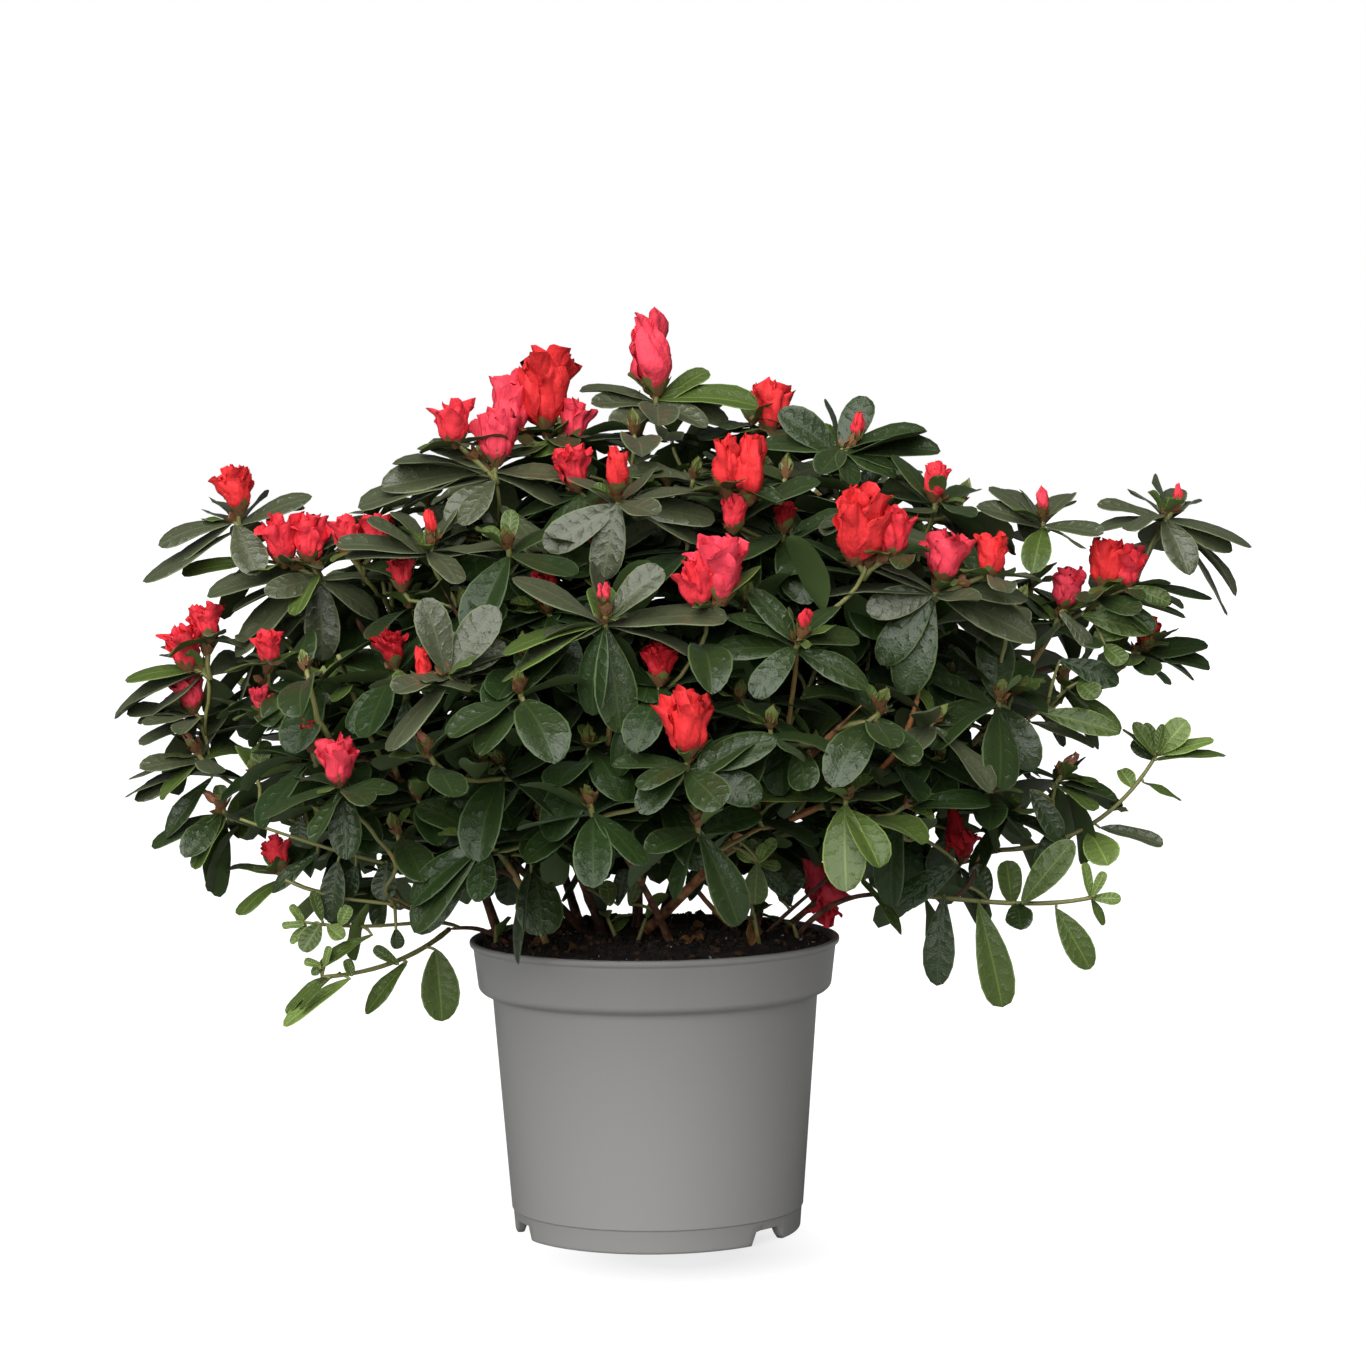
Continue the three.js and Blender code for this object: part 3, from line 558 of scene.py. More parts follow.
def mottled(material, scale, colours, detail=6.0):
    """The colour varies between some colours with noise through the solid."""
    tree = material.node_tree
    place = node_in(tree, "TexCoord")
    grain = node_in(tree, "TexNoise", Scale=scale, Detail=detail)
    ramp = node_in(tree, "ValToRGB")
    stops = ramp.color_ramp.elements
    while len(stops) < len(colours):
        stops.new(0.5)
    for stop, at, colour in zip(stops, np.linspace(0.32, 0.68, len(colours)), colours):
        stop.position = at
        stop.color = (*colour, 1)
    tree.links.new(place.outputs["Object"], grain.inputs["Vector"])
    tree.links.new(grain.outputs["Fac"], ramp.inputs["Fac"])
    tree.links.new(ramp.outputs["Color"], tree.nodes["Principled BSDF"].inputs["Base Color"])
    return material


# Each tint's colour, roughness and how much it shines. The grey tint is a lighter, greyer green that paints
# the sheen and reflection of the light from above on the upper leaves; the deep tint is darker, partly the
# leaves' own deep green and partly painted shade low down and inside the crown.
LEAF_TINTS = {
    "deep": ((0.0145, 0.033, 0.0055), 0.40, 0.35),
    "mid": ((0.0205, 0.039, 0.0075), 0.38, 0.50),
    "grey": ((0.058, 0.070, 0.032), 0.38, 0.62),
    "fresh": ((0.062, 0.098, 0.016), 0.42, 0.40),
    "young": ((0.140, 0.205, 0.045), 0.42, 0.40),
    "fallen": ((0.160, 0.075, 0.022), 0.60, 0.20),
}
YOUNG_TINTS = ("fresh", "young")
FINE_GRAIN = (900, 0.3, 0.0005)


def paler(colour, factor, extra):
    return tuple(np.array(colour) * factor + extra)


def leaf_materials():
    """For each tint the blade, rib, underside and a rim made paler by its hairs and a painted highlight, and
    then the two looks of bud scales.
    """
    made = []
    for tint, (colour, roughness, shine) in LEAF_TINTS.items():
        look = dict(Specular_IOR_Level=shine, Sheen_Weight=0.05, Sheen_Roughness=0.4)
        rib = paler(colour, 1.7 if tint in YOUNG_TINTS else 1.25, (0.008, 0.010, 0.002))
        under = paler(colour, 1.2, (0.030, 0.045, 0.014))
        # The rim is paler: partly the margin's pale hairs, partly a painted highlight along the leaf's edge.
        rim = paler(colour, 1.9, (0.022, 0.025, 0.014))
        made.append(veined(shader(f"leaf_{tint}", colour, roughness, **look)))
        made.append(relief(shader(f"rib_{tint}", rib, 0.45, **look), 900, 0.3, 0.0004))
        made.append(relief(shader(f"under_{tint}", under, 0.6), *FINE_GRAIN))
        made.append(relief(shader(f"rim_{tint}", rim, 0.6), *FINE_GRAIN))
    made.append(relief(shader("scale_green", (0.16, 0.19, 0.050), 0.5), *FINE_GRAIN))
    made.append(relief(shader("scale_brown", (0.20, 0.095, 0.036), 0.6), 900, 0.5, 0.0006))
    return made


TINT_INDEX = {tint: 4 * i for i, tint in enumerate(LEAF_TINTS)}
SCALE_GREEN = 4 * len(LEAF_TINTS)
TINT_INDEX.update(scale_green=SCALE_GREEN, scale_brown=SCALE_GREEN + 1)


# ------------------------------------------------------------------ leaves

BLADE, RIB, UNDER, RIM = range(4)


class LeafPlan:
    """How a leaf is divided: rows along it, points across each row, and one point below each row."""

    def __init__(self, rows, across, strips):
        self.rows, self.across = np.array(rows), np.array(across)
        self.inner, width = len(rows) - 2, len(across)
        per_row = width + 1
        base = self.inner * per_row
        tip, last = base + 1, base - per_row
        self.size = base + 2
        faces, kinds = [], []
        for a in range(0, last, per_row):
            b = a + per_row
            faces += [[a + k, a + k + 1, b + k + 1, b + k] for k in range(width - 1)]
            faces += [[a, b, b + width, a + width], [a + width, b + width, b + width - 1, a + width - 1]]
            kinds += [*strips, UNDER, UNDER]
        for k, strip in enumerate(strips):
            faces += [[base, k + 1, k], [tip, last + k, last + k + 1]]
            kinds += [strip, strip]
        faces += [[base, 0, width], [base, width, width - 1]]
        faces += [[tip, last + width, last], [tip, last + width - 1, last + width]]
        kinds += [UNDER] * 4
        self.loops = np.array([corner for face in faces for corner in face])
        self.totals = np.array([len(face) for face in faces])
        self.kinds = np.array(kinds)
        starts = np.arange(self.inner) * per_row
        self.border = np.zeros(self.size, bool)
        self.border[[base, tip, *starts, *(starts + width - 1)]] = True
        # each point's place on a flat leaf, across and along, for the veins
        place = np.zeros((self.size, 2))
        place[:base, 0] = np.tile([*(self.across / 2 + 0.5), 0.5], self.inner)
        place[:base, 1] = np.repeat(self.rows[1:-1], per_row)
        place[[base, tip]] = (0.5, 0), (0.5, 1)
        self.uv = place[self.loops]


PLANS = [
    LeafPlan([0, 0.06, 0.16, 0.30, 0.46, 0.62, 0.77, 0.89, 0.965, 1],
             [-1, -0.92, -0.5, -0.05, 0.05, 0.5, 0.92, 1],
             [RIM, BLADE, BLADE, RIB, BLADE, BLADE, RIM]),
    LeafPlan([0, 0.08, 0.28, 0.52, 0.76, 0.93, 1], [-1, -0.5, -0.05, 0.05, 0.5, 1],
             [BLADE, BLADE, RIB, BLADE, BLADE]),
    LeafPlan([0, 0.25, 0.65, 1], [-1, 0, 1], [BLADE, BLADE]),
]
FULL, LEAN, SCALE = range(len(PLANS))

# What a leaf's edge adds to its half width, how far its underside lies below the spine, how much its
# sides turn down, how quickly they ripple, and how deep the rib and every other pair of veins lie.
LEAF_EDGE, LEAF_THICKNESS, SIDES_DOWN, RIPPLES = 0.45, 0.62, 0.16, 9
RIB_DEPTH, VEIN_DEPTH = 0.25, 0.2


class Leaves:
    """Leaves, bracts and bud scales, kept as arrays until they are joined."""

    def __init__(self):
        self.rows = []

    def add(self, base, along, above, length, width, tint, fold=0.25, curl=0.5, twist=0.0, wave=0.3,
            shape=(1.1, 0.72), region=0, plan=FULL):
        self.rows.append((*base, *along, *above, length, width, fold, curl, twist, wave, *shape,
                          TINT_INDEX[tint], plan, region))

    def full_since(self, first):
        """How many leaves, bracts and scales left out, were added from a row on."""
        return sum(row[-2] != SCALE and row[9] > BRACT_LENGTH[1] for row in self.rows[first:])

    def points(self, rows, plan):
        base, along = rows[:, 0:3], unit(rows[:, 3:6])
        above = square_to(along, rows[:, 6:9])
        side = np.cross(above, along)
        length, width, fold, curl, twist, wave, a, b = rows[:, 9:17].T
        t, s = plan.rows[None, :], plan.across[None, None, :]
        bend = curl[:, None] * np.maximum(t - 0.05, 0) ** 1.25
        middle = (bend[:, 1:] + bend[:, :-1]) / 2
        steps = np.diff(plan.rows)[None, :]
        none = np.zeros((len(rows), 1))
        forward = np.concatenate([none, np.cumsum(np.cos(middle) * steps, 1)], 1)
        droop = np.concatenate([none, np.cumsum(np.sin(middle) * steps, 1)], 1)
        spine = base[:, None] + length[:, None, None] * (
            forward[..., None] * along[:, None] - droop[..., None] * above[:, None])
        over = np.cos(bend)[..., None] * above[:, None] + np.sin(bend)[..., None] * along[:, None]
        roll = (twist[:, None] * t)[..., None]
        across = side[:, None] * np.cos(roll) + over * np.sin(roll)
        over = over * np.cos(roll) - side[:, None] * np.sin(roll)
        peak = (a / (a + b)) ** a * (b / (a + b)) ** b
        share = t ** a[:, None] * (1 - t) ** b[:, None] / peak[:, None]
        half = width[:, None] / 2 * share + LEAF_EDGE * (t > 0) * (t < 1)
        ripple = wave[:, None] * np.sin(RIPPLES * t + 20 * twist[:, None] + length[:, None])
        lift = half[..., None] * (fold[:, None, None] * np.abs(s) - SIDES_DOWN * s**4)
        lift = lift + ripple[..., None] * s**2 * np.sign(s)
        every_other = (np.arange(len(plan.rows)) % 2)[None, :, None]
        at_rib, half_way = np.abs(s) < 0.1, np.abs(np.abs(s) - 0.5) < 0.1
        lift = lift - RIB_DEPTH * at_rib - VEIN_DEPTH * every_other * half_way
        top = spine[:, :, None] + across[:, :, None] * (half[..., None] * s)[..., None] \
            + over[:, :, None] * lift[..., None]
        below = spine - over * LEAF_THICKNESS
        body = np.concatenate([top[:, 1:-1], below[:, 1:-1, None]], axis=2)
        body = body.reshape(len(rows), -1, 3)
        return np.concatenate([body, spine[:, :1], spine[:, -1:]], axis=1)

    def build(self, name, region, materials):
        everything = np.array([row for row in self.rows if row[-1] == region])
        points, loops, totals, kinds, border, uv, shift = [], [], [], [], [], [], 0
        for number, plan in enumerate(PLANS):
            rows = everything[everything[:, -2] == number]
            if not len(rows):
                continue
            points.append(self.points(rows, plan).reshape(-1, 3))
            first = shift + np.arange(len(rows)) * plan.size
            loops.append((plan.loops[None, :] + first[:, None]).ravel())
            totals.append(np.tile(plan.totals, len(rows)))
            tint = rows[:, -3].astype(int)[:, None]
            kinds.append(np.where(tint < SCALE_GREEN, tint + plan.kinds[None, :], tint).ravel())
            border.append(np.tile(plan.border, len(rows)))
            uv.append(np.tile(plan.uv, (len(rows), 1)))
            shift += len(rows) * plan.size
        made = new_object(name, np.concatenate(points), np.concatenate(loops), np.concatenate(totals),
                          materials, np.concatenate(kinds))
        sharpen(made, np.concatenate(border))
        layer = made.data.uv_layers.new(name="leaf")
        layer.data.foreach_set("uv", np.concatenate(uv).astype(np.float32).ravel())
        return made


# ------------------------------------------------------------------ blossom

PETAL_ROWS, PETAL_ACROSS, PETAL_THICKNESS = 11, 10, 0.36
BLOOM_TINTS = {
    "red": (0.82, 0.040, 0.060),
    "pink": (0.86, 0.060, 0.098),
    "scarlet": (0.78, 0.034, 0.038),
    # A darker copy of the red, for flowers sunk in the crown: painted shade.
    "crimson": (0.42, 0.010, 0.018),
    "faded": (0.40, 0.17, 0.10),
}
BLOOM_INDEX = {tint: i for i, tint in enumerate(BLOOM_TINTS)}


def petal_pattern():
    """Corners of the faces of one petal, two sheets that share their border, and that border."""
    n, m = PETAL_ROWS, PETAL_ACROSS
    front = np.arange(n * m).reshape(n, m)
    rear = front.copy()
    rear[1:-1, 1:-1] = n * m + np.arange((n - 2) * (m - 2)).reshape(n - 2, m - 2)
    quads = []
    for sheet, flip in ((front, False), (rear, True)):
        for i in range(n - 1):
            for j in range(m - 1):
                quad = [sheet[i, j], sheet[i, j + 1], sheet[i + 1, j + 1], sheet[i + 1, j]]
                quads.append(quad[::-1] if flip else quad)
    border = np.zeros(rear.max() + 1, bool)
    border[[*front[0], *front[-1], *front[:, 0], *front[:, -1]]] = True
    return np.array(quads), border


PETAL_QUADS, PETAL_BORDER = petal_pattern()


class Petals:
    """Petals of every flower, kept as arrays until they are joined."""

    def __init__(self):
        self.rows = []

    def add(self, base, axis, *rest):
        """The rest: turn, height, three radii, width, ruffle, twist, droop, seed, tint and region."""
        self.rows.append((*base, *axis, *rest))

    def points(self, rows):
        base, axis = rows[:, 0:3], unit(rows[:, 3:6])
        turn, height, r0, r1, r2, width, ruffle, twist, droop, seed = (
            c[:, None, None] for c in rows[:, 6:16].T)
        east = square_to(axis, np.tile([1.0, 0.13, 0.07], (len(rows), 1)))
        north = np.cross(axis, east)
        v = np.linspace(0, 1, PETAL_ROWS)[None, :, None]
        u = np.linspace(-1, 1, PETAL_ACROSS)[None, None, :]
        closing = np.sqrt(1 - (np.maximum(v - 0.6, 0) / 0.47) ** 2)
        profile = (0.42 + 0.58 * np.sin(np.pi / 2 * np.minimum(v / 0.5, 1))) * closing

        def wave(across, along, own):
            return np.sin(2 * np.pi * (across * u * profile + along * v) + seed * own)

        swell = np.sin(np.pi / 2 * np.minimum(v / 0.42, 1)) ** 0.8
        radius = r0 + (r1 - r0) * swell + (r2 - r1) * np.maximum((v - 0.4) / 0.6, 0) ** 1.5
        frill = v**2 * (wave(0.7, 0.3, 1.7) + 0.7 * wave(1.4, -0.4, 2.9))
        crease = 0.035 * wave(0.45, 1.2, 4.1) + 0.034 * wave(1.3, 0.3, 5.3) + 0.022 * wave(0.5, 2.3, 6.1)
        crease = crease + 0.05 * u - 0.08 * u**2  # each petal lies over the next and bulges
        radius = radius + ruffle * frill + height * crease * np.minimum(v * 2.5, 1) + droop * v**3
        angle = turn + twist * v + u * width * profile / np.maximum(np.abs(r1), 3.4)
        rise = height * (v - 0.15 * u**4 * v**2) - 0.35 * np.abs(droop) * v**3
        rise = rise + ruffle * v**4 * (0.45 * wave(0.9, 0, 7.7) + 0.25 * wave(2.0, 0, 3.3))
        grid = (base[:, None, None] + axis[:, None, None] * rise[..., None]
                + (east[:, None, None] * np.cos(angle)[..., None]
                   + north[:, None, None] * np.sin(angle)[..., None]) * radius[..., None])
        across, up = np.gradient(grid, axis=2), np.gradient(grid, axis=1)
        facing = unit(np.cross(across, up)) * PETAL_THICKNESS / 2
        facing[:, [0, -1]] = 0
        facing[:, :, [0, -1]] = 0
        front, rear = grid + facing, (grid - facing)[:, 1:-1, 1:-1]
        return np.concatenate([sheet.reshape(len(rows), -1, 3) for sheet in (front, rear)], axis=1)

    def build(self, name, region, materials):
        rows = np.array([row for row in self.rows if row[-1] == region])
        points = self.points(rows).reshape(-1, 3)
        shift = np.arange(len(rows)) * len(PETAL_BORDER)
        quads = PETAL_QUADS[None] + shift[:, None, None]
        tint = np.repeat(rows[:, -2].astype(int), len(PETAL_QUADS))
        totals = np.full(len(tint), 4)
        made = new_object(name, points, quads.ravel(), totals, materials, tint)
        sharpen(made, np.tile(PETAL_BORDER, len(rows)))
        return made


def bloom_materials():
    made = []
    for tint, colour in BLOOM_TINTS.items():
        petal = shader(f"petal_{tint}", colour, 0.6, Specular_IOR_Level=0.2)
        made.append(relief(petal, 340, 0.8, 0.0016, 4.0, (1, 1, 0.55)))
    return made


# ------------------------------------------------------------------ growing the plant

rng = np.random.default_rng(20)
leaves = Leaves()
petals = Petals()
REGIONS = ["upper", "shoulder", "flank", "skirt"]
SKIRT = REGIONS.index("skirt")
REGION_OF = {"top": 0, "crown": 0, "shoulder": 1, "flank": 2, "skirt": 3}
SHOOT_REGIONS = {
    "shoot_upper_left": 1, "shoot_upper_right": 1, "shoot_left": 2, "shoot_outer_right": 2,
    "shoot_right": 2, "shoot_lower_left": 3, "shoot_lower_right": 3,
}


def region_of_node(name):
    return SHOOT_REGIONS.get(name, REGION_OF.get(name.split("_")[0]))


MASSES = [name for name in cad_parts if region_of_node(name) is not None]
MASS_MIDDLE = np.array([(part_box(n)[0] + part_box(n)[1]) / 2 for n in MASSES]) / MM


def nearest_region(point):
    return region_of_node(MASSES[int(np.argmin(np.linalg.norm(MASS_MIDDLE - point, axis=1)))])


def bough_curve(foot, target, rise):
    """The same course as the solid's: up from the soil, out at an elbow, and on to the mass."""
    x, y = foot
    start = np.array([x, y, soil_height(x, y) - BOUGH_BURIED])
    lean = (target - start) * BOUGH_ELBOW_OUT
    elbow = np.array([start[0] + lean[0], start[1] + lean[1], start[2] + BOUGH_BURIED + rise])
    before = mix(elbow, target, BOUGH_BEND_OUT)
    before[2] = mix(elbow[2], target[2], BOUGH_BEND_UP)
    return bezier(start, elbow, before, target, BOUGH_STEPS)


class Skeleton:
    """Every point of the stems and twigs grown so far, for the next twig to start from."""

    # What counts against a place to start from, beside its distance: to be above the tip or outside
    # it, a turn, being nearer than the shortest twig, and lying on the soil.
    ABOVE, OUTSIDE, TURN, TOO_NEAR, ON_SOIL = 2.0, 1.5, 25, 200, 60
    SHORTEST = 16

    def __init__(self):
        self.points, self.tangents, self.radii = [], [], []

    def add(self, path, radii, first=0):
        tangents = unit(np.gradient(path, axis=0))
        self.points += list(path[first:])
        self.tangents += list(tangents[first:])
        self.radii += list(radii[first:])

    def distances(self, place):
        return np.linalg.norm(np.array(self.points) - place, axis=1)

    def nearest(self, place):
        return self.points[int(np.argmin(self.distances(place)))]

    def start_for(self, tip, heading):
        points = np.array(self.points)
        to_tip = tip - points
        distance = np.linalg.norm(to_tip, axis=1)
        inward = np.hypot(*points[:, :2].T) - np.hypot(*tip[:2])
        above = np.maximum(points[:, 2] - tip[2] + 4, 0)
        turn = 1 - np.sum(unit(to_tip) * heading, axis=1)
        cost = distance + self.ABOVE * above + self.OUTSIDE * np.maximum(inward + 4, 0)
        cost += self.TURN * turn + self.TOO_NEAR * (distance < self.SHORTEST)
        cost += self.ON_SOIL * (points[:, 2] < SOIL_CREST + 6)
        best = int(np.argmin(cost))
        return points[best], np.array(self.tangents)[best], np.array(self.radii)[best]


class InView:
    """What shows in the picture and may not be covered: places, their radius, and how far back they are."""

    def __init__(self):
        self.rows = []

    def keep(self, across, down, radius, back):
        self.rows.append((across, down, radius, back))

    def hidden_by(self, point):
        across, down = picture_place(point)
        rows = np.array(self.rows)
        near = np.hypot(rows[:, 0] - across, rows[:, 1] - down) < rows[:, 2]
        return bool(np.any(near & (point[1] < rows[:, 3] - 1)))


# Where along a leaf it may not cover what shows, and how its upper side faces: up, towards the
# twig's tip and away from the twig.
GUARDED_AT = (0.3, 0.65, 0.97)
FACES_UP, FACES_TIP, FACES_OUT = 0.8, 0.5, 0.15
# A leaf whose tip and width show: the greatest width beside its length for one of a whorl and one on
# its own, the least for each, and how far towards or away from the camera it may point in mm.
BROADEST, BROADEST_ALONE, NARROWEST, NARROWEST_ALONE, DEEPEST = 0.46, 0.62, 0.40, 0.3, 26
# Leaves along a twig: mm apart on a shoot that fills the crown, on one that shows, on the inner part
# of a long twig and on young wood, and how long they are in mm.
APART, APART_SHOWN, APART_INSIDE, APART_YOUNG = 9.0, 14.0, 13.0, 12.0
OUTER_LEAVES, INNER_LEAVES, YOUNG_LEAVES, RUFF_LEAVES = (24, 39), (26, 38), (14, 27), (13, 24)
LEAFY_END, LONG_TWIG = 62, 75  # mm of a twig that are leafy, and from how long on it has inner leaves
STALK_FROM, RUFF_FROM = 3, 7  # how far from its shoot a flower has a stalk, and a ruff of leaves too
BUD_HEIGHT = (7, 10)
IDLE_DRAWS = 3  # for each shoot that fills the crown: they decide nothing, but later draws follow them
# What is kept clear in the picture round a shoot's tip, a bough and a twig, in picture points.
TIP_CLEAR, BOUGH_CLEAR, TWIG_CLEAR = 9, 6, 5


def leaf_shape():
    """Broadest past the middle, with a drawn-out base and a blunt tip."""
    return rng.uniform(0.9, 1.2), rng.uniform(0.5, 0.68)


def grow_leaf(point, heading, turn, lift, sag, length, tint, region, curl=None, east=UP + 0.3, guarded=True):
    """A leaf at a turn round a twig, unless it would cover what shows in the picture."""
    east = square_to(heading, east)
    north = np.cross(heading, east)
    outward = east * math.cos(turn) + north * math.sin(turn)
    along = unit(outward * math.cos(lift) + heading * math.sin(lift) - UP * sag)
    if guarded and any(in_view.hidden_by(point + along * length * share) for share in GUARDED_AT):
        return
    above = UP * FACES_UP + heading * FACES_TIP + outward * FACES_OUT + rng.normal(0, 0.16, 3)
    leaves.add(
        point + outward * 0.4, along, above, length, length * LEAF_SLENDERNESS * rng.uniform(0.88, 1.12),
        tint, fold=rng.uniform(0.05, 0.6), curl=rng.uniform(0.1, 0.95) if curl is None else curl,
        twist=rng.normal(0, 0.2), wave=rng.uniform(0.1, 0.8), shape=leaf_shape(), region=region,
        plan=LEAN if tint == "deep" and point[1] > LEAN_BEHIND else FULL)


def grow_seen_leaf(base, tip, seen_width, tint, region, natural=True):
    """A leaf whose tip and width show as given; one that shows short points nearer or further."""
    reach = tip - base
    flat = np.linalg.norm(reach)
    width = seen_width * -CAMERA_AT[1] / FOCAL
    length = max(flat, width / BROADEST_ALONE)
    if natural:
        length = max(flat, width / BROADEST, LEAF_LENGTH[0] * 0.95)
    depth = math.sqrt(max(length**2 - flat**2, 0))
    away = 1 if reach[2] > 0 else -1
    along = unit(reach + np.array([0, away * min(depth, DEEPEST), 0]))
    true_width = max(width, length * (NARROWEST if natural else NARROWEST_ALONE))
    facing = square_to(along, SIGHT)
    edge = np.cross(along, facing)
    edge = edge * (1 if edge[2] > 0 else -1)
    share = np.clip(width / true_width, 0.12, 0.97)
    above = unit(facing * share + edge * math.sqrt(1 - share**2))
    curl = rng.uniform(0.15, 0.6) if natural else 0.25
    leaves.add(base - along * 0.6, along + above * curl * 0.42, above, length * 1.03, true_width, tint,
               fold=rng.uniform(0.05, 0.45), curl=curl, twist=rng.normal(0, 0.1),
               wave=rng.uniform(0.2, 0.7), shape=leaf_shape(), region=region)


def spray_tint(tip):
    """The tint of a whole spray: greyer the higher it is and at the sides, as painted sheen of the light
    from above; deeper low down, as painted shade; and sometimes fresh.
    """
    high = (tip[2] - 198) / 95 + rng.normal(0, 0.3) + 0.25 * (abs(tip[0]) > 90)
    if rng.random() < np.interp(tip[2], [150, 240], [0.32, 0.07]):
        return "fresh"
    return "grey" if high > 0.62 else "mid" if high > 0.0 else "deep"


CANDLE_LEAN = np.array([0.17, 0.0, 0.0])
# Layers of each kind of flower: petals, radius at the foot in mm, and as shares of the flower's height
# the radius at the middle and top, the ruffle and the layer's own height.
BLOOM_LAYERS = {
    "bloom": [(5, 2.2, 0.29, 0.39, 0.07, 0.84), (4, 1.6, 0.23, 0.30, 0.08, 0.96),
              (3, 1.0, 0.15, 0.20, 0.09, 1.02)],
    "tight": [(4, 2.0, 0.20, 0.14, 0.03, 0.95), (3, 1.2, 0.13, 0.10, 0.04, 1.0)],
    "candle": [(4, 2.4, 0.21, 0.11, 0.02, 0.80), (4, 1.6, 0.17, 0.09, 0.02, 0.96),
               (3, 1.0, 0.10, 0.05, 0.02, 1.0)],
    "withered": [(3, 1.6, 0.15, 0.26, 0.10, 1.0), (3, 1.0, 0.10, 0.15, 0.12, 0.8)],
    "bud": [(3, 0.8, 0.24, 0.10, 0.03, 1.0)],
}
# Flowers sunk in the crown are open blooms in the darker copy of the red: painted shade.
BLOOM_KIND = {"dark": "bloom", "faded": "bud", "red_bud": "bud"}
BLOOM_SPIRAL = {"candle": 1.1, "tight": 0.6}
STYLE_TINT = {"dark": "crimson", "faded": "faded", "candle": "pink", "tight": "scarlet"}
OPEN_TINT_CHANCES = [0.5, 0.3, 0.2]  # red, pink, scarlet


def grow_bloom(point, axis, height, style, region, tint=None):
    if tint is None:
        drawn = int(rng.choice(len(OPEN_TINT_CHANCES), p=OPEN_TINT_CHANCES))
        tint = BLOOM_INDEX.get(STYLE_TINT.get(style), drawn)
    kind = BLOOM_KIND.get(style, style)
    spiral = rng.choice([-1, 1]) * BLOOM_SPIRAL.get(kind, 0.25)
    openness = rng.uniform(0.85, 1.2) if kind == "bloom" else 1.0
    first = rng.uniform(*ANY_TURN)
    for layer, (count, r0, r1, r2, ruffle, share) in enumerate(BLOOM_LAYERS[kind]):
        for i in range(count):
            petals.add(
                point, axis + rng.normal(0, 0.08, 3),
                first + i * 2 * math.pi / count + layer * 0.6 + rng.normal(0, 0.12),
                height * share * rng.uniform(0.92, 1.05), r0, height * r1,
                height * r2 * openness * rng.uniform(0.82, 1.25),
                height * r1 * 5.4 / count * rng.uniform(0.9, 1.15), height * ruffle,
                spiral * rng.uniform(0.7, 1.3), height * 0.04 * rng.normal(), rng.uniform(0, 60), tint,
                region)


def grow_scales(point, axis, count, length, tint, region, spread=0.25):
    """Bud scales or a calyx round the foot of a flower or bud."""
    east = square_to(axis, np.array([0.3, 0.9, 0.2]))
    north = np.cross(axis, east)
    first = rng.uniform(*ANY_TURN)
    for i in range(count):
        turn = first + i * GOLDEN
        outward = east * math.cos(turn) + north * math.sin(turn)
        leaves.add(
            point + outward * 1.1 - axis * 0.6, axis + outward * (spread + 0.1 * rng.random()), outward,
            length * rng.uniform(0.75, 1.15), length * 0.55, tint, fold=-0.35, curl=0.55, wave=0.0,
            shape=(0.8, 0.8), region=region, plan=SCALE)


def grow_flower(foot, heading, carries, height, region):
    """A flower or bud with the scales round its foot."""
    if carries in ("bloom", "tight", "candle", "dark"):
        axis = unit(heading * 0.35 + UP + rng.normal(0, 0.07, 3))
        if carries == "candle":
            axis = unit(UP - CANDLE_LEAN)
        foot = foot - axis * 1.0
        grow_bloom(foot, axis, height * 0.97, carries, region)
        size = 4.2 + 0.12 * height
        grow_scales(foot - axis * 1.8, axis, 7, size, "scale_brown", region, 1.2)
        grow_scales(foot - axis * 1.2, axis, 5, size, "scale_brown", region, 0.95)
        grow_scales(foot - axis * 1.6, axis, 3, size * 1.25, "scale_green", region, 1.1)
    elif carries in ("red_bud", "faded"):
        grow_bloom(foot + heading * 1.5, heading, height, carries, region)
        grow_scales(foot, heading, 5, height * 0.75, "scale_green", region, 0.25)
        grow_scales(foot, heading, 4, height * 0.45, "scale_brown", region, 0.7)
    elif carries == "green_bud":
        grow_scales(foot, heading, 6, height * 0.9, "scale_green", region, 0.12)
        grow_scales(foot, heading, 3, height * 0.6, "scale_brown", region, 0.5)


def grow_whorl(tip, heading, tint, region, shown):
    """The leaves round a shoot's end: those that show, the rest on the far side, and small ones."""
    for x, y, width, *own in shown:
        grow_seen_leaf(tip - heading * rng.uniform(0, 4), seen_at(x, y, tip[1]), width,
                       own[0] if own else tint, region)
    count = max(1, 7 - len(shown)) if shown else int(rng.integers(6, 9))
    low = np.clip((190 - tip[2]) / 70, 0, 1)
    first = rng.uniform(*ANY_TURN)
    for i in range(count):
        turn = first + i * 2 * math.pi / count + rng.normal(0, 0.18)
        lift = rng.uniform(-0.16, 0.36) - 0.25 * low
        if shown:  # away from the camera
            turn, lift = math.pi * (i + 0.5) / count, -0.2
        length = rng.uniform(*LEAF_LENGTH) * (0.72 if i % 4 == 3 else 1.0) * (1 - 0.22 * low)
        grow_leaf(tip - heading * rng.uniform(0.5, 5), heading, turn, lift,
                  rng.uniform(0, 0.22) + 0.3 * low, length, tint, region, east=EAST)
    for i in range(int(rng.integers(2, 4))):
        bract = tint if tint in YOUNG_TINTS else "fresh"
        grow_leaf(tip, heading, rng.uniform(*ANY_TURN), rng.uniform(0.5, 1.0), 0, rng.uniform(*BRACT_LENGTH),
                  bract, region, curl=0.4, guarded=not shown)


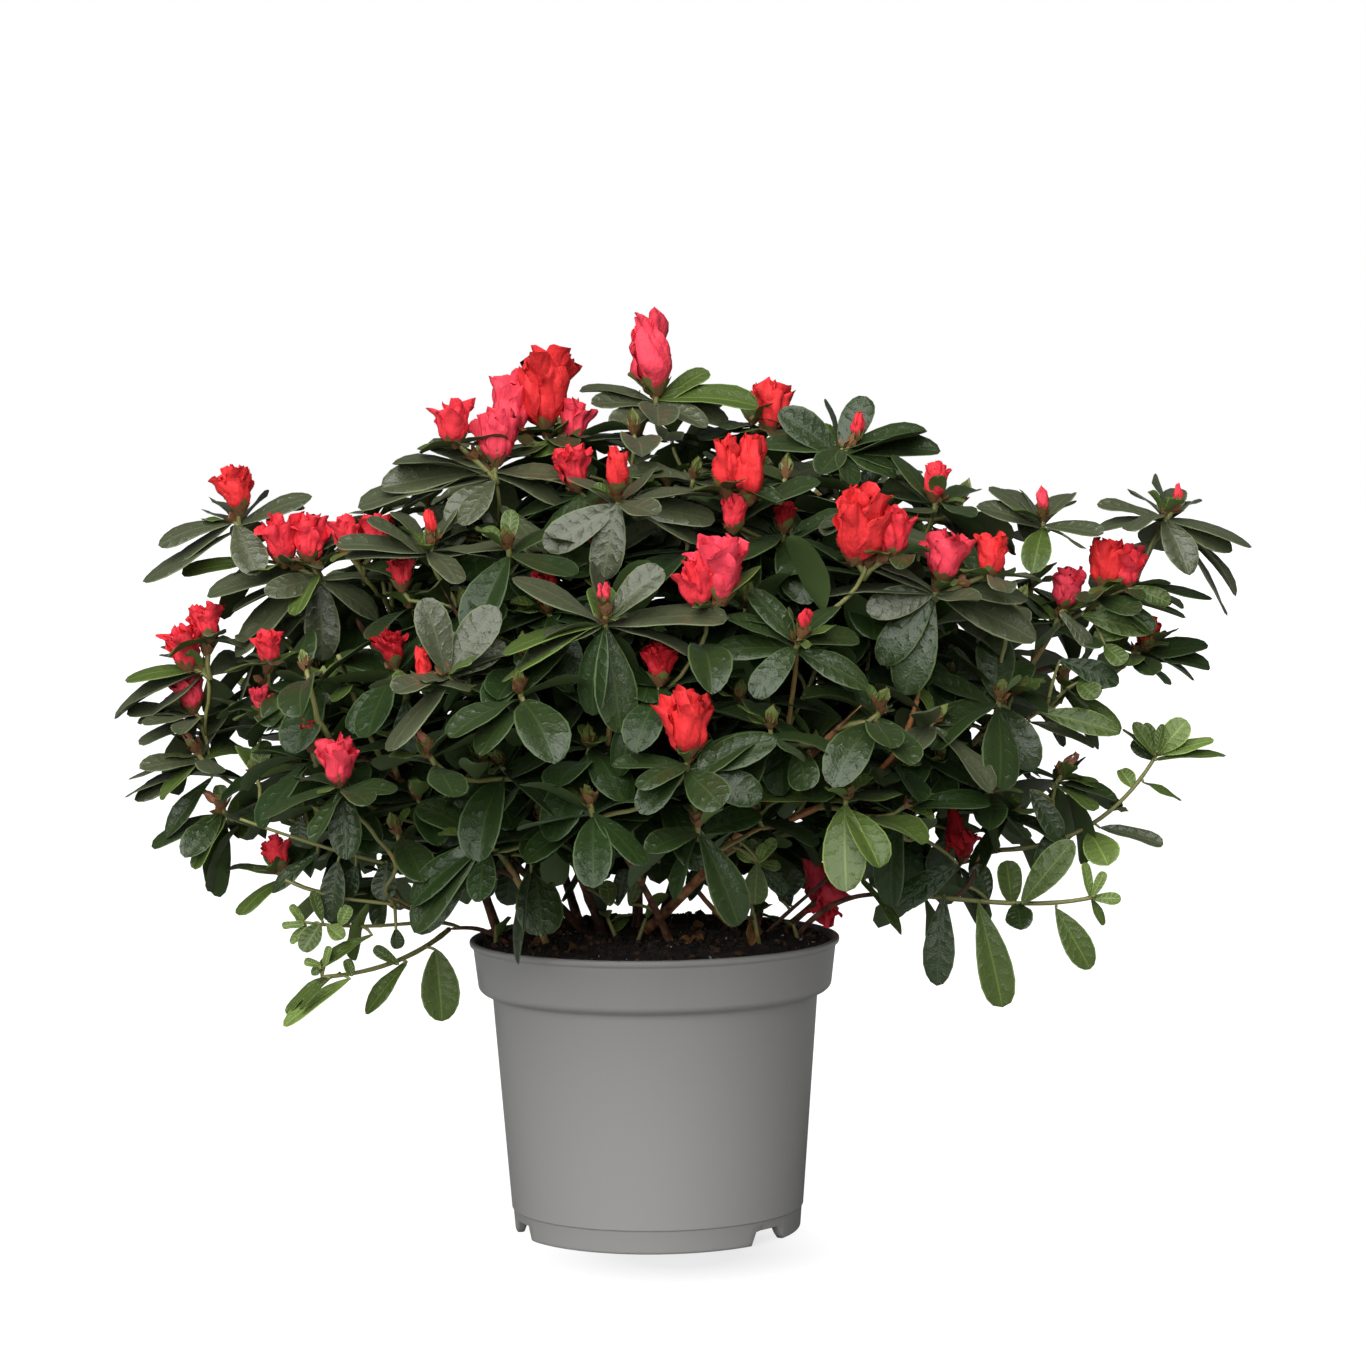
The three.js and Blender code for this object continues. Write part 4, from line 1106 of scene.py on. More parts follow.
def grow_stem_leaves(path, spacing, tint, start, stop, lengths, sag):
    """Single leaves along a twig, each a golden angle on from the last."""
    steps = np.linalg.norm(np.diff(path, axis=0), axis=1)
    reach = np.concatenate([[0], np.cumsum(steps)])
    at = start * reach[-1] + rng.uniform(0, spacing)
    turn = rng.uniform(*ANY_TURN)
    tangents = unit(np.gradient(path, axis=0))
    while at < stop * reach[-1]:
        point = np.array([np.interp(at, reach, path[:, k]) for k in range(3)])
        heading = unit(np.array([np.interp(at, reach, tangents[:, k]) for k in range(3)]))
        low = np.clip((200 - point[2]) / 80, 0, 1)
        grow_leaf(point, heading, turn, rng.uniform(0.15, 0.75), sag * rng.uniform(0.5, 1.4) + 0.5 * low,
                  rng.uniform(*lengths), tint, nearest_region(point))
        at += spacing * rng.uniform(0.7, 1.35)
        turn += GOLDEN + rng.normal(0, 0.2)


def heading_for(point):
    """Tips turn up at the top of the plant and outwards round its sides."""
    outward = np.array([point[0], point[1] * 1.08, 0.0])
    reach = np.linalg.norm(outward)
    outward = outward / max(reach, 1)
    lean = np.clip(reach / 165, 0, 1) * np.interp(point[2], [120, 170, 230, 320], [1.25, 0.8, 0.55, 0.4])
    rise = np.interp(point[2], [110, 160, 210], [0.3, 0.8, 1.0])
    return unit(outward * lean + UP * rise + rng.normal(0, 0.2, 3))


def grow_twig(tip, heading, girth_share=0.85):
    """A curved twig from the nearest wood to a tip, and its length."""
    start, tangent, girth = skeleton.start_for(tip, heading)
    span = np.linalg.norm(tip - start)
    leave = unit(tangent + unit(tip - start) * 0.9)
    path = bezier(start, start + leave * span * 0.36, tip - heading * span * 0.42, tip,
                  max(8, int(span / 6)))
    path = path + rng.normal(0, 0.5, path.shape) * np.sin(np.linspace(0, np.pi, len(path)))[:, None]
    radii = np.linspace(min(girth * girth_share, 1.1 + span * 0.012), 0.9, len(path))
    skeleton.add(path[:-3], radii[:-3], first=2)
    return path, radii, span


twigs = []  # (path, radii, kind of wood, or "" where it follows from the distance to the tip)
bough_paths = []
shoots = []  # (tip, heading, tint, leaves that show, flowers with the place of each foot)
skeleton = Skeleton()
in_view = InView()


def grow_boughs():
    for bough_name, foot, into, girth, rise in BOUGHS:
        low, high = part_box(into)
        path = bough_curve(foot, np.array((low + high) / 2) / MM, rise)
        path = path[:BOUGH_STEPS_SHOWN.get(bough_name, len(path))]
        share = np.linspace(0, 1, len(path))
        radii = girth * (1 - (1 - BOUGH_TIP) * share)
        slim = BOUGH_SLIMNESS * np.clip((1 - share) / BOUGH_FINE_END, 0.2, 1)
        flare = 1 + BOUGH_FLARE * np.exp(-share / BOUGH_FLARE_REACH)
        bough_paths.append((path, slim * radii * flare))
        skeleton.add(path, radii, first=6)
        for point in path[::2]:
            if point[2] < STEMS_SHOW_BELOW:
                in_view.keep(*picture_place(point), BOUGH_CLEAR, point[1])


def grow_seen_twigs():
    for course, back, radius, wood in SEEN_TWIGS:
        inside = seen_on_dome(*course[-1])[1] + TWIG_SINK
        backs = np.broadcast_to(inside if back is None else back, 4)
        knots = np.array([seen_at(*place, at) for place, at in zip(course, backs)])
        inner = knots[1:3] * 1.5 - knots[[0, 3]] * 0.25 - knots[[2, 1]] * 0.25
        wood_near = skeleton.nearest(knots[0])
        if np.linalg.norm(wood_near - knots[0]) < FORK_REACH:  # it forks from wood that shows too
            knots[0] = wood_near
        elif knots[0][2] > SOIL_CREST + 4:
            lead, lead_radii, _ = grow_twig(knots[0], unit(inner[0] - knots[0]))
            twigs.append((lead, np.linspace(lead_radii[0], radius, len(lead)), "brown"))
        body = bezier(knots[0], *inner, knots[3], 24)
        radii = np.linspace(radius, radius * 0.75, len(body))
        twigs.append((body, radii, wood))
        skeleton.add(body, radii, first=1)
        for point in body[::2]:
            in_view.keep(*picture_place(point), TWIG_CLEAR, point[1])


def keep_in_view():
    """Lists the shoots that show, and keeps each of their leaves and flowers, and each gap, clear."""
    for (across, down), sink, tint, shown, flowers in SEEN_WHORLS:
        tip = seen_on_dome(across, down, sink)
        placed = [(seen_at(x, y, tip[1] - 1), kind, float(tall)) for x, y, kind, tall in flowers]
        shoots.append((tip, heading_for(tip), tint, shown, placed))
        in_view.keep(across, down, TIP_CLEAR, tip[1])
        for x, y, width, *_ in shown:
            for share in (0.5, 0.85):
                in_view.keep(mix(across, x, share), mix(down, y, share), 3 + width * 0.4, tip[1])
        for x, y, _, tall in flowers:
            for share in (0.6, 1.8):
                in_view.keep(x, y - share * tall, 4 + tall * 0.7, tip[1])
    for x0, y0, x1, y1, width, _, back in SEEN_LEAVES:
        for share in (0.3, 0.7):
            margin = 9 if back > -50 else 3
            in_view.keep(mix(x0, x1, share), mix(y0, y1, share), margin + width / 2, back)
    for x, y, back, *_, tall in SEEN_FLOWERS:
        in_view.keep(x, y + tall, 6 + tall, back)
    for gap in SEEN_GAPS:
        in_view.keep(*gap, OPEN_TO_SKY)


def open_place(point):
    """Whether a place is in the gap that shows between the soil and the lowest leaves."""
    x, y, z = point
    over_pot = z < OPEN_OVER_POT_BELOW and math.hypot(x, y) < OPEN_OVER_POT_RADIUS
    in_front = z < OPEN_IN_FRONT_BELOW and y < OPEN_IN_FRONT_OF and abs(x) < OPEN_IN_FRONT_HALF
    return z < OPEN_BELOW or over_pot or in_front


def fill_points():
    """Tips spread over the whole dome, and fewer inside it, clear of the shoots that show."""
    found = []
    for scale, apart, tries in FILL_LAYERS:
        outermost = scale > OUTER_LAYER
        layer = [shoot[0] for shoot in shoots] if outermost else []
        for _ in range(tries):
            way = unit(rng.normal(0, 1, 3))
            way[2] *= 1.0 if way[2] > 0 else 0.55
            ends = DOME_MIDDLE + np.linspace(0, DOME_REACH, DOME_STEPS)[:, None] * way
            inside = ends[np.count_nonzero(inside_dome(ends, scale)) - 1]
            point = mix(DOME_MIDDLE, inside, rng.uniform(0.95, 1.03))
            if open_place(point) or (outermost and in_view.hidden_by(point - [0, 6, 0])):
                continue
            if layer and np.min(np.linalg.norm(np.array(layer) - point, axis=1)) < apart:
                continue
            layer.append(point)
            found.append((point, scale))
    return found


def list_fill_shoots():
    """Shoots with a green bud each, to fill the rest of the crown."""
    for point, scale in fill_points():
        heading = heading_for(point)
        rng.random(IDLE_DRAWS)
        tall = rng.uniform(*BUD_HEIGHT)
        # Inner shoots take the deep tint, as painted shade inside the crown.
        tint = spray_tint(point) if scale > OUTER_LAYER else "deep"
        shoots.append((point, heading, tint, [], [(point + heading * 2, "green_bud", tall)]))


def grow_flowers_of_shoot(tip, heading, tint, flowers, region):
    for foot, carries, tall in flowers:
        apart = np.linalg.norm(foot - tip)
        grow_flower(foot, heading, carries, tall, region)
        if apart > STALK_FROM:
            stalk = bezier(tip - heading * 6, tip - heading, mix(tip, foot, 0.7) - UP * 2, foot, 6)
            twigs.append((stalk, np.full(7, 1.1), "young"))
            grow_scales(mix(tip, foot, 0.4), unit(foot - tip), 5, 6.5, "scale_brown", region, 0.7)
        if apart > RUFF_FROM and carries in ("bloom", "tight"):
            for k in range(6):
                grow_leaf(foot - UP * 1.5, UP, k * 1.05, rng.uniform(0.0, 0.5), 0.1,
                          rng.uniform(*RUFF_LEAVES), tint if k % 3 else "fresh", region, curl=0.5,
                          guarded=False)


def grow_shoots(seen_count):
    """Each shoot from the wood outwards; one that doesn't show is dropped where it would be bare."""
    order = sorted(range(len(shoots)), key=lambda i: float(np.min(skeleton.distances(shoots[i][0]))))
    grown = [leaves.rows, petals.rows, twigs, skeleton.points, skeleton.tangents, skeleton.radii]
    for i in order:
        before = [len(kept) for kept in grown]
        tip, heading, tint, shown, flowers = shoots[i]
        path, radii, span = grow_twig(tip, heading)
        twigs.append((path, radii, ""))
        region = nearest_region(tip)
        grow_flowers_of_shoot(tip, heading, tint, flowers, region)
        grow_whorl(tip, heading, tint, region, shown)
        grow_scales(tip, heading, 4, 5.0, "scale_brown", region, 0.8)
        leafy = np.clip(1 - LEAFY_END / max(span, 1), 0.12, 0.9)
        grow_stem_leaves(path, APART_SHOWN if shown else APART, tint, leafy, 0.93, OUTER_LEAVES, 0.25)
        # Inner leaves of a long twig take the deep tint, as painted shade inside the crown.
        if span > LONG_TWIG:
            grow_stem_leaves(path, APART_INSIDE, "deep", 0.3, leafy, INNER_LEAVES, 0.35)
        if i >= seen_count and leaves.full_since(before[0]) < FEWEST_LEAVES:
            for kept, length in zip(grown, before):
                del kept[length:]


def grow_seen_leaves():
    for x0, y0, x1, y1, width, tint, back in SEEN_LEAVES:
        base = seen_at(x0, y0, back)
        start = skeleton.nearest(base)
        span = np.linalg.norm(base - start)
        if span > 1.5:
            stalk = bezier(start, mix(start, base, 0.4) + UP * span * 0.12,
                           mix(start, base, 0.75) + UP * span * 0.1, base, max(4, int(span / 5)))
            twigs.append((stalk, np.linspace(min(0.9, 0.5 + span * 0.02), 0.5, len(stalk)), "young"))
        grow_seen_leaf(base, seen_at(x1, y1, back), width, tint, nearest_region(base), natural=False)


def grow_seen_flowers():
    for x, y, back, axis, style, tint, tall in SEEN_FLOWERS:
        foot = seen_at(x, y, back)
        start = skeleton.nearest(foot)
        stalk = bezier(start, mix(start, foot, 0.4) + UP * 3, mix(start, foot, 0.8) + UP * 3, foot, 8)
        twigs.append((stalk, np.full(9, 0.8), "tan"))
        grow_bloom(foot, np.array(axis), float(tall), style, SKIRT, BLOOM_INDEX[tint])


def drop_leaves():
    for x, y, length, turn, lift in FALLEN_LEAVES:
        foot = np.array([x, y, float(soil_height(x, y)) + 0.8])
        along = np.array([math.cos(turn), math.sin(turn), lift])
        leaves.add(foot, along, UP + rng.normal(0, 0.3, 3), length, length * 0.42, "fallen", fold=0.5,
                   curl=rng.uniform(-0.6, 0.9), wave=0.8, region=SKIRT)


def grow_tufts():
    for x, y, height, length in TUFTS:
        foot = np.array([x, y, float(soil_height(x, y)) - 1])
        top = foot + [rng.normal(0, 2), rng.normal(0, 2), height * 0.6]
        stalk = bezier(foot, mix(foot, top, 0.3), mix(foot, top, 0.7), top, 6)
        twigs.append((stalk, np.linspace(1.0, 0.7, 7), "young"))
        for i in range(11):
            grow_leaf(mix(foot, top, rng.uniform(0.3, 1)), UP, i * GOLDEN, rng.uniform(0.1, 1.1), 0,
                      length * rng.uniform(0.7, 1.2), "fresh" if i % 3 else "young", SKIRT, curl=0.25)


def grow_plant():
    grow_boughs()
    grow_seen_twigs()
    keep_in_view()
    for body, _, wood in list(twigs):
        if wood == "young":
            grow_stem_leaves(body, APART_YOUNG, "fresh", 0.15, 0.9, YOUNG_LEAVES, 0.45)
    seen_count = len(shoots)
    list_fill_shoots()
    grow_shoots(seen_count)
    grow_seen_leaves()
    grow_seen_flowers()
    drop_leaves()
    grow_tufts()


grow_plant()


# ------------------------------------------------------------------ wood

def tube(path, radii, sides, knobs=None):
    """Points, quads and end caps of a closed limb round a path."""
    tangents = unit(np.gradient(path, axis=0))
    normal = square_to(tangents[0], np.array([0.9, 0.3, 0.2]))
    angle = round_turn(sides)[:, None]
    rings = []
    for point, tangent, radius in zip(path, tangents, radii):
        normal = square_to(tangent, normal)
        other = np.cross(tangent, normal)
        rings.append(point + radius * (normal * np.cos(angle) + other * np.sin(angle)))
    points = np.array(rings)
    if knobs is not None:
        points = points + unit(points - path[:, None]) * knobs[..., None]
    return points.reshape(-1, 3), *ring_faces(len(path), sides)


def join_tubes(name, limbs, materials):
    """One object from limbs of (points, quads, end caps, material of each quad)."""
    points, loops, totals, kinds, shift = [], [], [], [], 0
    for at, quads, caps, kind in limbs:
        points.append(at)
        loops.append((quads + shift).ravel())
        totals += [4] * len(quads)
        kinds += list(kind)
        for cap, of in zip(caps, (kind[0], kind[-1])):
            loops.append(cap + shift)
            totals.append(len(cap))
            kinds.append(of)
        shift += len(at)
    return new_object(name, np.concatenate(points), np.concatenate(loops), totals, materials, kinds)


def finer(path, radii, step):
    """The same path and its radii with points about a step apart."""
    reach = np.concatenate([[0], np.cumsum(np.linalg.norm(np.diff(path, axis=0), axis=1))])
    at = np.linspace(0, reach[-1], max(4, int(reach[-1] / step)))
    *place, radii = (np.interp(at, reach, values) for values in (*path.T, radii))
    return np.stack(place, axis=1), radii


# Each wood's colour, roughness and grain.
WOOD_COLOURS = {
    "young": ((0.20, 0.20, 0.062), 0.5, (900, 0.4, 0.0005)),
    "tan": ((0.37, 0.25, 0.085), 0.6, (700, 0.6, 0.0008)),
    "orange": ((0.30, 0.115, 0.035), 0.6, (700, 0.6, 0.0008)),
    "brown": ((0.075, 0.036, 0.019), 0.75, (600, 0.7, 0.001)),
}
WOODS = {wood: i for i, wood in enumerate(WOOD_COLOURS)}
# How far from its tip a twig is of each wood; further in it is brown.
WOOD_REACH = {"young": 42, "tan": 62, "orange": 80}
TWIG_STEP, TWIG_SIDES, NODE_SWELLING = 4.0, 6, 0.12
BARK_STEP, BARK_SIDES = 2.0, 14
# How high the strips, the flakes and the swellings of the bark stand, as shares of the radius.
BARK_STRIPS, BARK_FLAKES, BARK_SWELLINGS = 0.13, 0.09, 0.10
# Each bark's plain colour and the colours of its mottles.
BARK_COLOURS = {
    "bark_old": ((0.08, 0.035, 0.02), [
        (0.026, 0.012, 0.008), (0.075, 0.032, 0.017), (0.16, 0.062, 0.028), (0.26, 0.12, 0.055)]),
    "bark_young": ((0.14, 0.06, 0.03), [
        (0.060, 0.024, 0.012), (0.17, 0.070, 0.028), (0.36, 0.150, 0.052), (0.46, 0.23, 0.10)]),
}
OLD_BARK, YOUNG_BARK = range(len(BARK_COLOURS))


def twig_limb(path, radii, wood):
    """A twig with slight nodes; its last stretch is green and the rest brown, unless a wood is given."""
    path, radii = finer(path, radii, TWIG_STEP)
    radii = radii * (1 + NODE_SWELLING * np.sin(np.arange(len(path)) * 2.4) ** 8)
    points, quads, caps = tube(path, radii, TWIG_SIDES)
    left = np.linalg.norm(path - path[-1], axis=1)[:-1]
    near = [left < reach for reach in WOOD_REACH.values()]
    kind = np.select(near, [WOODS[name] for name in WOOD_REACH], WOODS["brown"])
    if wood:
        kind = np.full(len(left), WOODS[wood])
    return points, quads, caps, np.repeat(kind, TWIG_SIDES)


def bark_limb(path, radii, seed, look):
    """A bough with long strips of bark, flakes across them and low swellings."""
    path, radii = finer(path, radii, BARK_STEP)
    knobs = np.zeros((len(path), BARK_SIDES))
    for i, radius in enumerate(radii):
        for j, angle in enumerate(round_turn(BARK_SIDES)):
            place = Vector((math.cos(angle) * 1.6 + seed, math.sin(angle) * 1.6, i * 0.09))
            strips = noise.noise(Vector((place.x * 2.2, place.y * 2.2, place.z)))
            flakes = noise.noise(Vector((place.x * 3.1, place.y * 3.1, place.z * 5)))
            swellings = max(noise.noise(Vector((place.x, place.y, i * 0.05 + seed))), 0)
            knobs[i, j] = radius * (
                BARK_STRIPS * strips + BARK_FLAKES * flakes + BARK_SWELLINGS * swellings)
    points, quads, caps = tube(path, radii, BARK_SIDES, knobs)
    return points, quads, caps, np.full(len(quads), look)


wood_looks = [relief(shader(f"wood_{wood}", colour, roughness), *grain)
              for wood, (colour, roughness, grain) in WOOD_COLOURS.items()]
bark_looks = [mottled(shader(name, plain, 0.8), 190, mottles)
              for name, (plain, mottles) in BARK_COLOURS.items()]
for bark in bark_looks:
    relief(bark, 420, 0.9, 0.0016, 6.0, (1, 1, 0.35))

stems = join_tubes("stems", [
    bark_limb(path, radii, 3.7 * i, YOUNG_BARK if bough[0] in YOUNG_BOUGHS else OLD_BARK)
    for i, (bough, (path, radii)) in enumerate(zip(BOUGHS, bough_paths))], bark_looks)
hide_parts(*[bough[0] for bough in BOUGHS])
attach(stems, "root")

twig_wood = join_tubes("twigs", [twig_limb(*twig) for twig in twigs], wood_looks)
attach(twig_wood, "root")

# ------------------------------------------------------------------ foliage and blossom

foliage_looks = leaf_materials()
bloom_looks = bloom_materials()
for number, part in enumerate(REGIONS):
    crown = leaves.build(f"foliage_{part}", number, foliage_looks)
    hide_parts(*[n for n in MASSES if region_of_node(n) == number])
    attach(crown, "root")
    flowers = petals.build(f"blossom_{part}", number, bloom_looks)
    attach(flowers, "root")

# ------------------------------------------------------------------ pot

POT_STEP, POT_BODY_TOP, POT_COLLAR = 10.0, 94.8, 98.6
POT_STEP_RADIUS, POT_BODY_RADIUS = 59.2, 65.8
POT_WALL, POT_FLOOR, POT_PAD, POT_FOOT = 1.2, 6.5, 34.0, 54.0
NOTCH_AZIMUTHS, NOTCH_HALF, NOTCH_SLOPE, NOTCH_HEIGHT = (50, 170, 290), 8.2, 1.1, 5.8
DRAIN_HOLES, DRAIN_RING, DRAIN_RADIUS, DRAIN_SEGMENTS = 6, 45.0, 3.2, 24
POT_SEGMENTS, POT_ROUNDING = 160, 0.9
SHARP_FROM = math.radians(50)


def rounded(corners, radius, steps):
    """A profile with its corners rounded: corners as (r, z)."""
    out = []
    corners = [np.array(c, float) for c in corners]
    for before, corner, after in zip(corners[:-2], corners[1:-1], corners[2:]):
        a, b = before - corner, after - corner
        cut = min(radius, np.linalg.norm(a) * 0.45, np.linalg.norm(b) * 0.45)
        start, end = corner + unit(a) * cut, corner + unit(b) * cut
        for t in np.linspace(0, 1, steps):
            out.append((1 - t) ** 2 * start + 2 * t * (1 - t) * corner + t**2 * end)
    return np.array([corners[0], *out, corners[-1]])


def pot_profile():
    """Radius and height, from the middle of the underside round the rim to the middle of the floor."""
    floor_radius = mix(POT_STEP_RADIUS, POT_BODY_RADIUS, (9 - POT_STEP) / (POT_BODY_TOP - POT_STEP))
    outside = [
        (0.01, 0), (POT_PAD, 0), (POT_PAD + 1.5, POT_FLOOR), (53.6, POT_FLOOR), (54.6, 0), (57.4, 0),
        (58.0, 0.8), (58.7, POT_STEP - 0.5), (59.25, POT_STEP - 0.3), (59.3, POT_STEP + 0.6),
        (POT_BODY_RADIUS, POT_BODY_TOP), (66.2, POT_BODY_TOP + 1.6), (69.9, POT_COLLAR - 0.9),
        (71.5, POT_COLLAR + 0.8), (73.5, 116.0), (74.9, 116.6), (RIM_RADIUS, 118.4), (74.2, POT_HEIGHT),
    ]
    inside = [
        (72.9, 118.8), (72.4, 116.0), (70.2, POT_COLLAR + 1.2), (64.6, POT_BODY_TOP + 1.2),
        (floor_radius - POT_WALL, 9.0), (56.0, POT_FLOOR + POT_WALL), (POT_PAD + 1, POT_FLOOR + POT_WALL),
        (POT_PAD - 0.5, POT_WALL), (0.01, POT_WALL),
    ]
    return rounded(outside + inside, POT_ROUNDING, 3)


def make_pot(look):
    """The profile turned round the axis, with the notches in its foot."""
    radius, height = pot_profile().T[:, :, None]
    angle = round_turn(POT_SEGMENTS)
    azimuth = np.degrees(np.arctan2(np.cos(angle), -np.sin(angle)))
    notch = np.zeros_like(angle)
    for at in NOTCH_AZIMUTHS:
        off = np.abs((azimuth - at + 180) % 360 - 180)
        notch = np.maximum(notch, np.clip((NOTCH_HALF - off) / NOTCH_SLOPE / 2 + 0.5, 0, 1))
    foot = (radius > POT_FOOT) & (height < NOTCH_HEIGHT + 0.6)
    z = height + 0 * angle
    z = np.where(foot, mix(z, NOTCH_HEIGHT + 0.1 * z, notch[None, :]), z)
    return ring_object("nursery_pot", np.stack(
        [radius * np.cos(angle), radius * np.sin(angle), z], axis=-1), look)


def drill(made):
    """The drain holes in the pot's underside."""
    bits = []
    for turn in round_turn(DRAIN_HOLES):
        at = np.array([DRAIN_RING * math.cos(turn), DRAIN_RING * math.sin(turn), 0.0])
        path = at + np.array([[0, 0, POT_FLOOR - 1.5], [0, 0, POT_FLOOR + POT_WALL + 1.0]])
        points, quads, caps = tube(path, [DRAIN_RADIUS] * 2, DRAIN_SEGMENTS)
        bits.append((points, quads, caps, np.zeros(len(quads), int)))
    bit = join_tubes("drain_hole_bits", bits, [])
    cut = made.modifiers.new("drain_holes", "BOOLEAN")
    cut.operation, cut.solver, cut.object = "DIFFERENCE", "EXACT", bit
    solid = made.evaluated_get(bpy.context.evaluated_depsgraph_get())
    made.data = bpy.data.meshes.new_from_object(solid)
    made.modifiers.clear()
    bpy.data.objects.remove(bit)


pot_look = shader("pot_plastic", (0.254, 0.250, 0.241), 0.42, Specular_IOR_Level=0.45)
relief(pot_look, 1500, 0.12, 0.0003)
pot = make_pot(pot_look)
drill(pot)
edges = pot.modifiers.new("edges", "EDGE_SPLIT")
edges.split_angle = SHARP_FROM
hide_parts("pot")
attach(pot, "root")


# ------------------------------------------------------------------ peat

PEAT_RINGS, PEAT_SIDES = 60, 180
PEAT_BUMPS = ((0.9, 0.35), (0.7, 0.9), (0.35, 2.2))  # how high the bumps are and how close together
# The rest of the root ball, inside the pot: radius and height from its shoulder to its underside.
ROOT_BALL = ((70.6, 108), (68.0, 100), (63.6, 95), (57.0, 12), (54.5, 9), (2.0, 9))


def make_peat(look):
    """The uneven top of the peat, and the root ball below it."""
    angle = round_turn(PEAT_SIDES)
    reach = SOIL_RADIUS * np.linspace(0.004, 1, PEAT_RINGS)[:, None] ** 0.8
    x, y = reach * np.cos(angle), reach * np.sin(angle)
    bumps = np.zeros_like(x)
    for at in np.ndindex(x.shape):
        place = Vector((x[at], y[at], 0.0))
        bumps[at] = sum(height * noise.noise(place * close) for height, close in PEAT_BUMPS)
    z = soil_height(x, y) + bumps * np.clip((SOIL_RADIUS - reach) / 4 + 0.25, 0, 1)
    radius, height = np.array(ROOT_BALL).T[:, :, None]
    below = np.stack([radius * np.cos(angle), radius * np.sin(angle), height + 0 * angle], axis=-1)
    points = np.concatenate([np.stack([x, y, z], axis=-1), below])
    return ring_object("peat", points, look, downwards=True)


def icosahedron():
    """Corners of a unit icosahedron, and its faces seen from outside."""
    golden = (1 + 5**0.5) / 2
    signs = [(s, t * golden) for s in (-1, 1) for t in (-1, 1)]
    corners = unit(np.array([(0, s, t) for s, t in signs] + [(s, t, 0) for s, t in signs]
                            + [(t, 0, s) for s, t in signs], float))
    near = np.linalg.norm(corners[:, None] - corners[None], axis=-1) < 1.2
    faces = [(a, b, c) for a in range(12) for b in range(a + 1, 12) for c in range(b + 1, 12)
             if near[a, b] and near[b, c] and near[a, c]]
    outside = [np.linalg.det(corners[list(face)]) > 0 for face in faces]
    return corners, np.array([face if out else face[::-1] for face, out in zip(faces, outside)])


def make_crumbs(name, count, sizes, materials, seed):
    """Small angular grains that lie on the peat."""
    grains = np.random.default_rng(seed)
    corners, faces = icosahedron()
    reach = (SOIL_RADIUS - 1.5) * np.sqrt(grains.random(count))
    turn = grains.uniform(*ANY_TURN, count)
    x, y = reach * np.cos(turn), reach * np.sin(turn)
    size = grains.uniform(*sizes, count) * grains.uniform(0.6, 1.2, count)
    stretch = grains.uniform(0.6, 1.3, (count, 1, 3))
    shape = corners[None] * grains.uniform(0.75, 1.25, (count, 12, 1)) * stretch * size[:, None, None]
    at = np.stack([x, y, soil_height(x, y) + size * 0.3 + 0.3], axis=-1)
    points = (shape + at[:, None]).reshape(-1, 3)
    loops = (faces[None] + (np.arange(count) * 12)[:, None, None]).ravel()
    kinds = np.repeat(grains.integers(0, len(materials), count), len(faces))
    return new_object(name, points, loops, [3] * len(kinds), materials, kinds, smooth=False)


peat_look = mottled(shader("peat", (0.015, 0.009, 0.006), 0.95), 260,
                    [(0.005, 0.003, 0.002), (0.015, 0.009, 0.005), (0.050, 0.026, 0.013)])
relief(peat_look, 900, 1.0, 0.002, 8.0)
crumb_look = relief(shader("peat_crumb", (0.010, 0.006, 0.004), 0.95), 900, 0.8, 0.001)
fibre_look = relief(shader("peat_fibre", (0.06, 0.028, 0.013), 0.9), 900, 0.8, 0.001)
perlite_look = relief(shader("perlite", (0.36, 0.34, 0.30), 0.8), 1500, 0.5, 0.0005)
peat = make_peat(peat_look)
crumbs = make_crumbs("peat_crumbs", 850, (0.5, 1.7), [crumb_look, crumb_look, fibre_look], 5)
perlite = make_crumbs("perlite_specks", 70, (0.3, 0.7), [perlite_look], 6)
for piece in (peat, crumbs, perlite):
    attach(piece, "root")
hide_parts("root_ball")

# ------------------------------------------------------------------ stage

# The floor shows white but for a faint painted shadow before the pot, where its own glow is dimmed: its
# middle in m, its two radii, and how bright the floor's own glow is at each.
FLOOR_HALF, FLOOR_WHITE, FLOOR_BOUNCE = 9.0, 0.20, 0.40
SHADE_AT, SHADE_RADII, SHADE_GLOW = (0.010, -0.060, 0.0), (0.020, 0.090), (0.62, 1.0)
SKY_TOP, SKY_SIDE, SKY_RISE = 1.8, 0.95, (-0.1, 0.9)
SUN_POWER, SUN_WIDTH, SUN_FROM = 5.0, math.radians(75), (-0.32, -1.0, 0.95)


def range_node(tree, value, given, wanted):
    """Maps a value from one range to another; gives its output."""
    node = node_in(tree, "MapRange", From_Min=given[0], From_Max=given[1], To_Min=wanted[0],
                   To_Max=wanted[1])
    tree.links.new(value, node.inputs["Value"])
    return node.outputs["Result"]


def pick_node(tree, lit_by, seen):
    """One shader for what the camera sees directly, another for what lights and shows in other things."""
    pick = node_in(tree, "MixShader")
    direct = node_in(tree, "LightPath").outputs["Is Camera Ray"]
    for socket, output in zip(pick.inputs, (direct, lit_by.outputs[0], seen.outputs[0])):
        tree.links.new(output, socket)
    return pick.outputs[0]


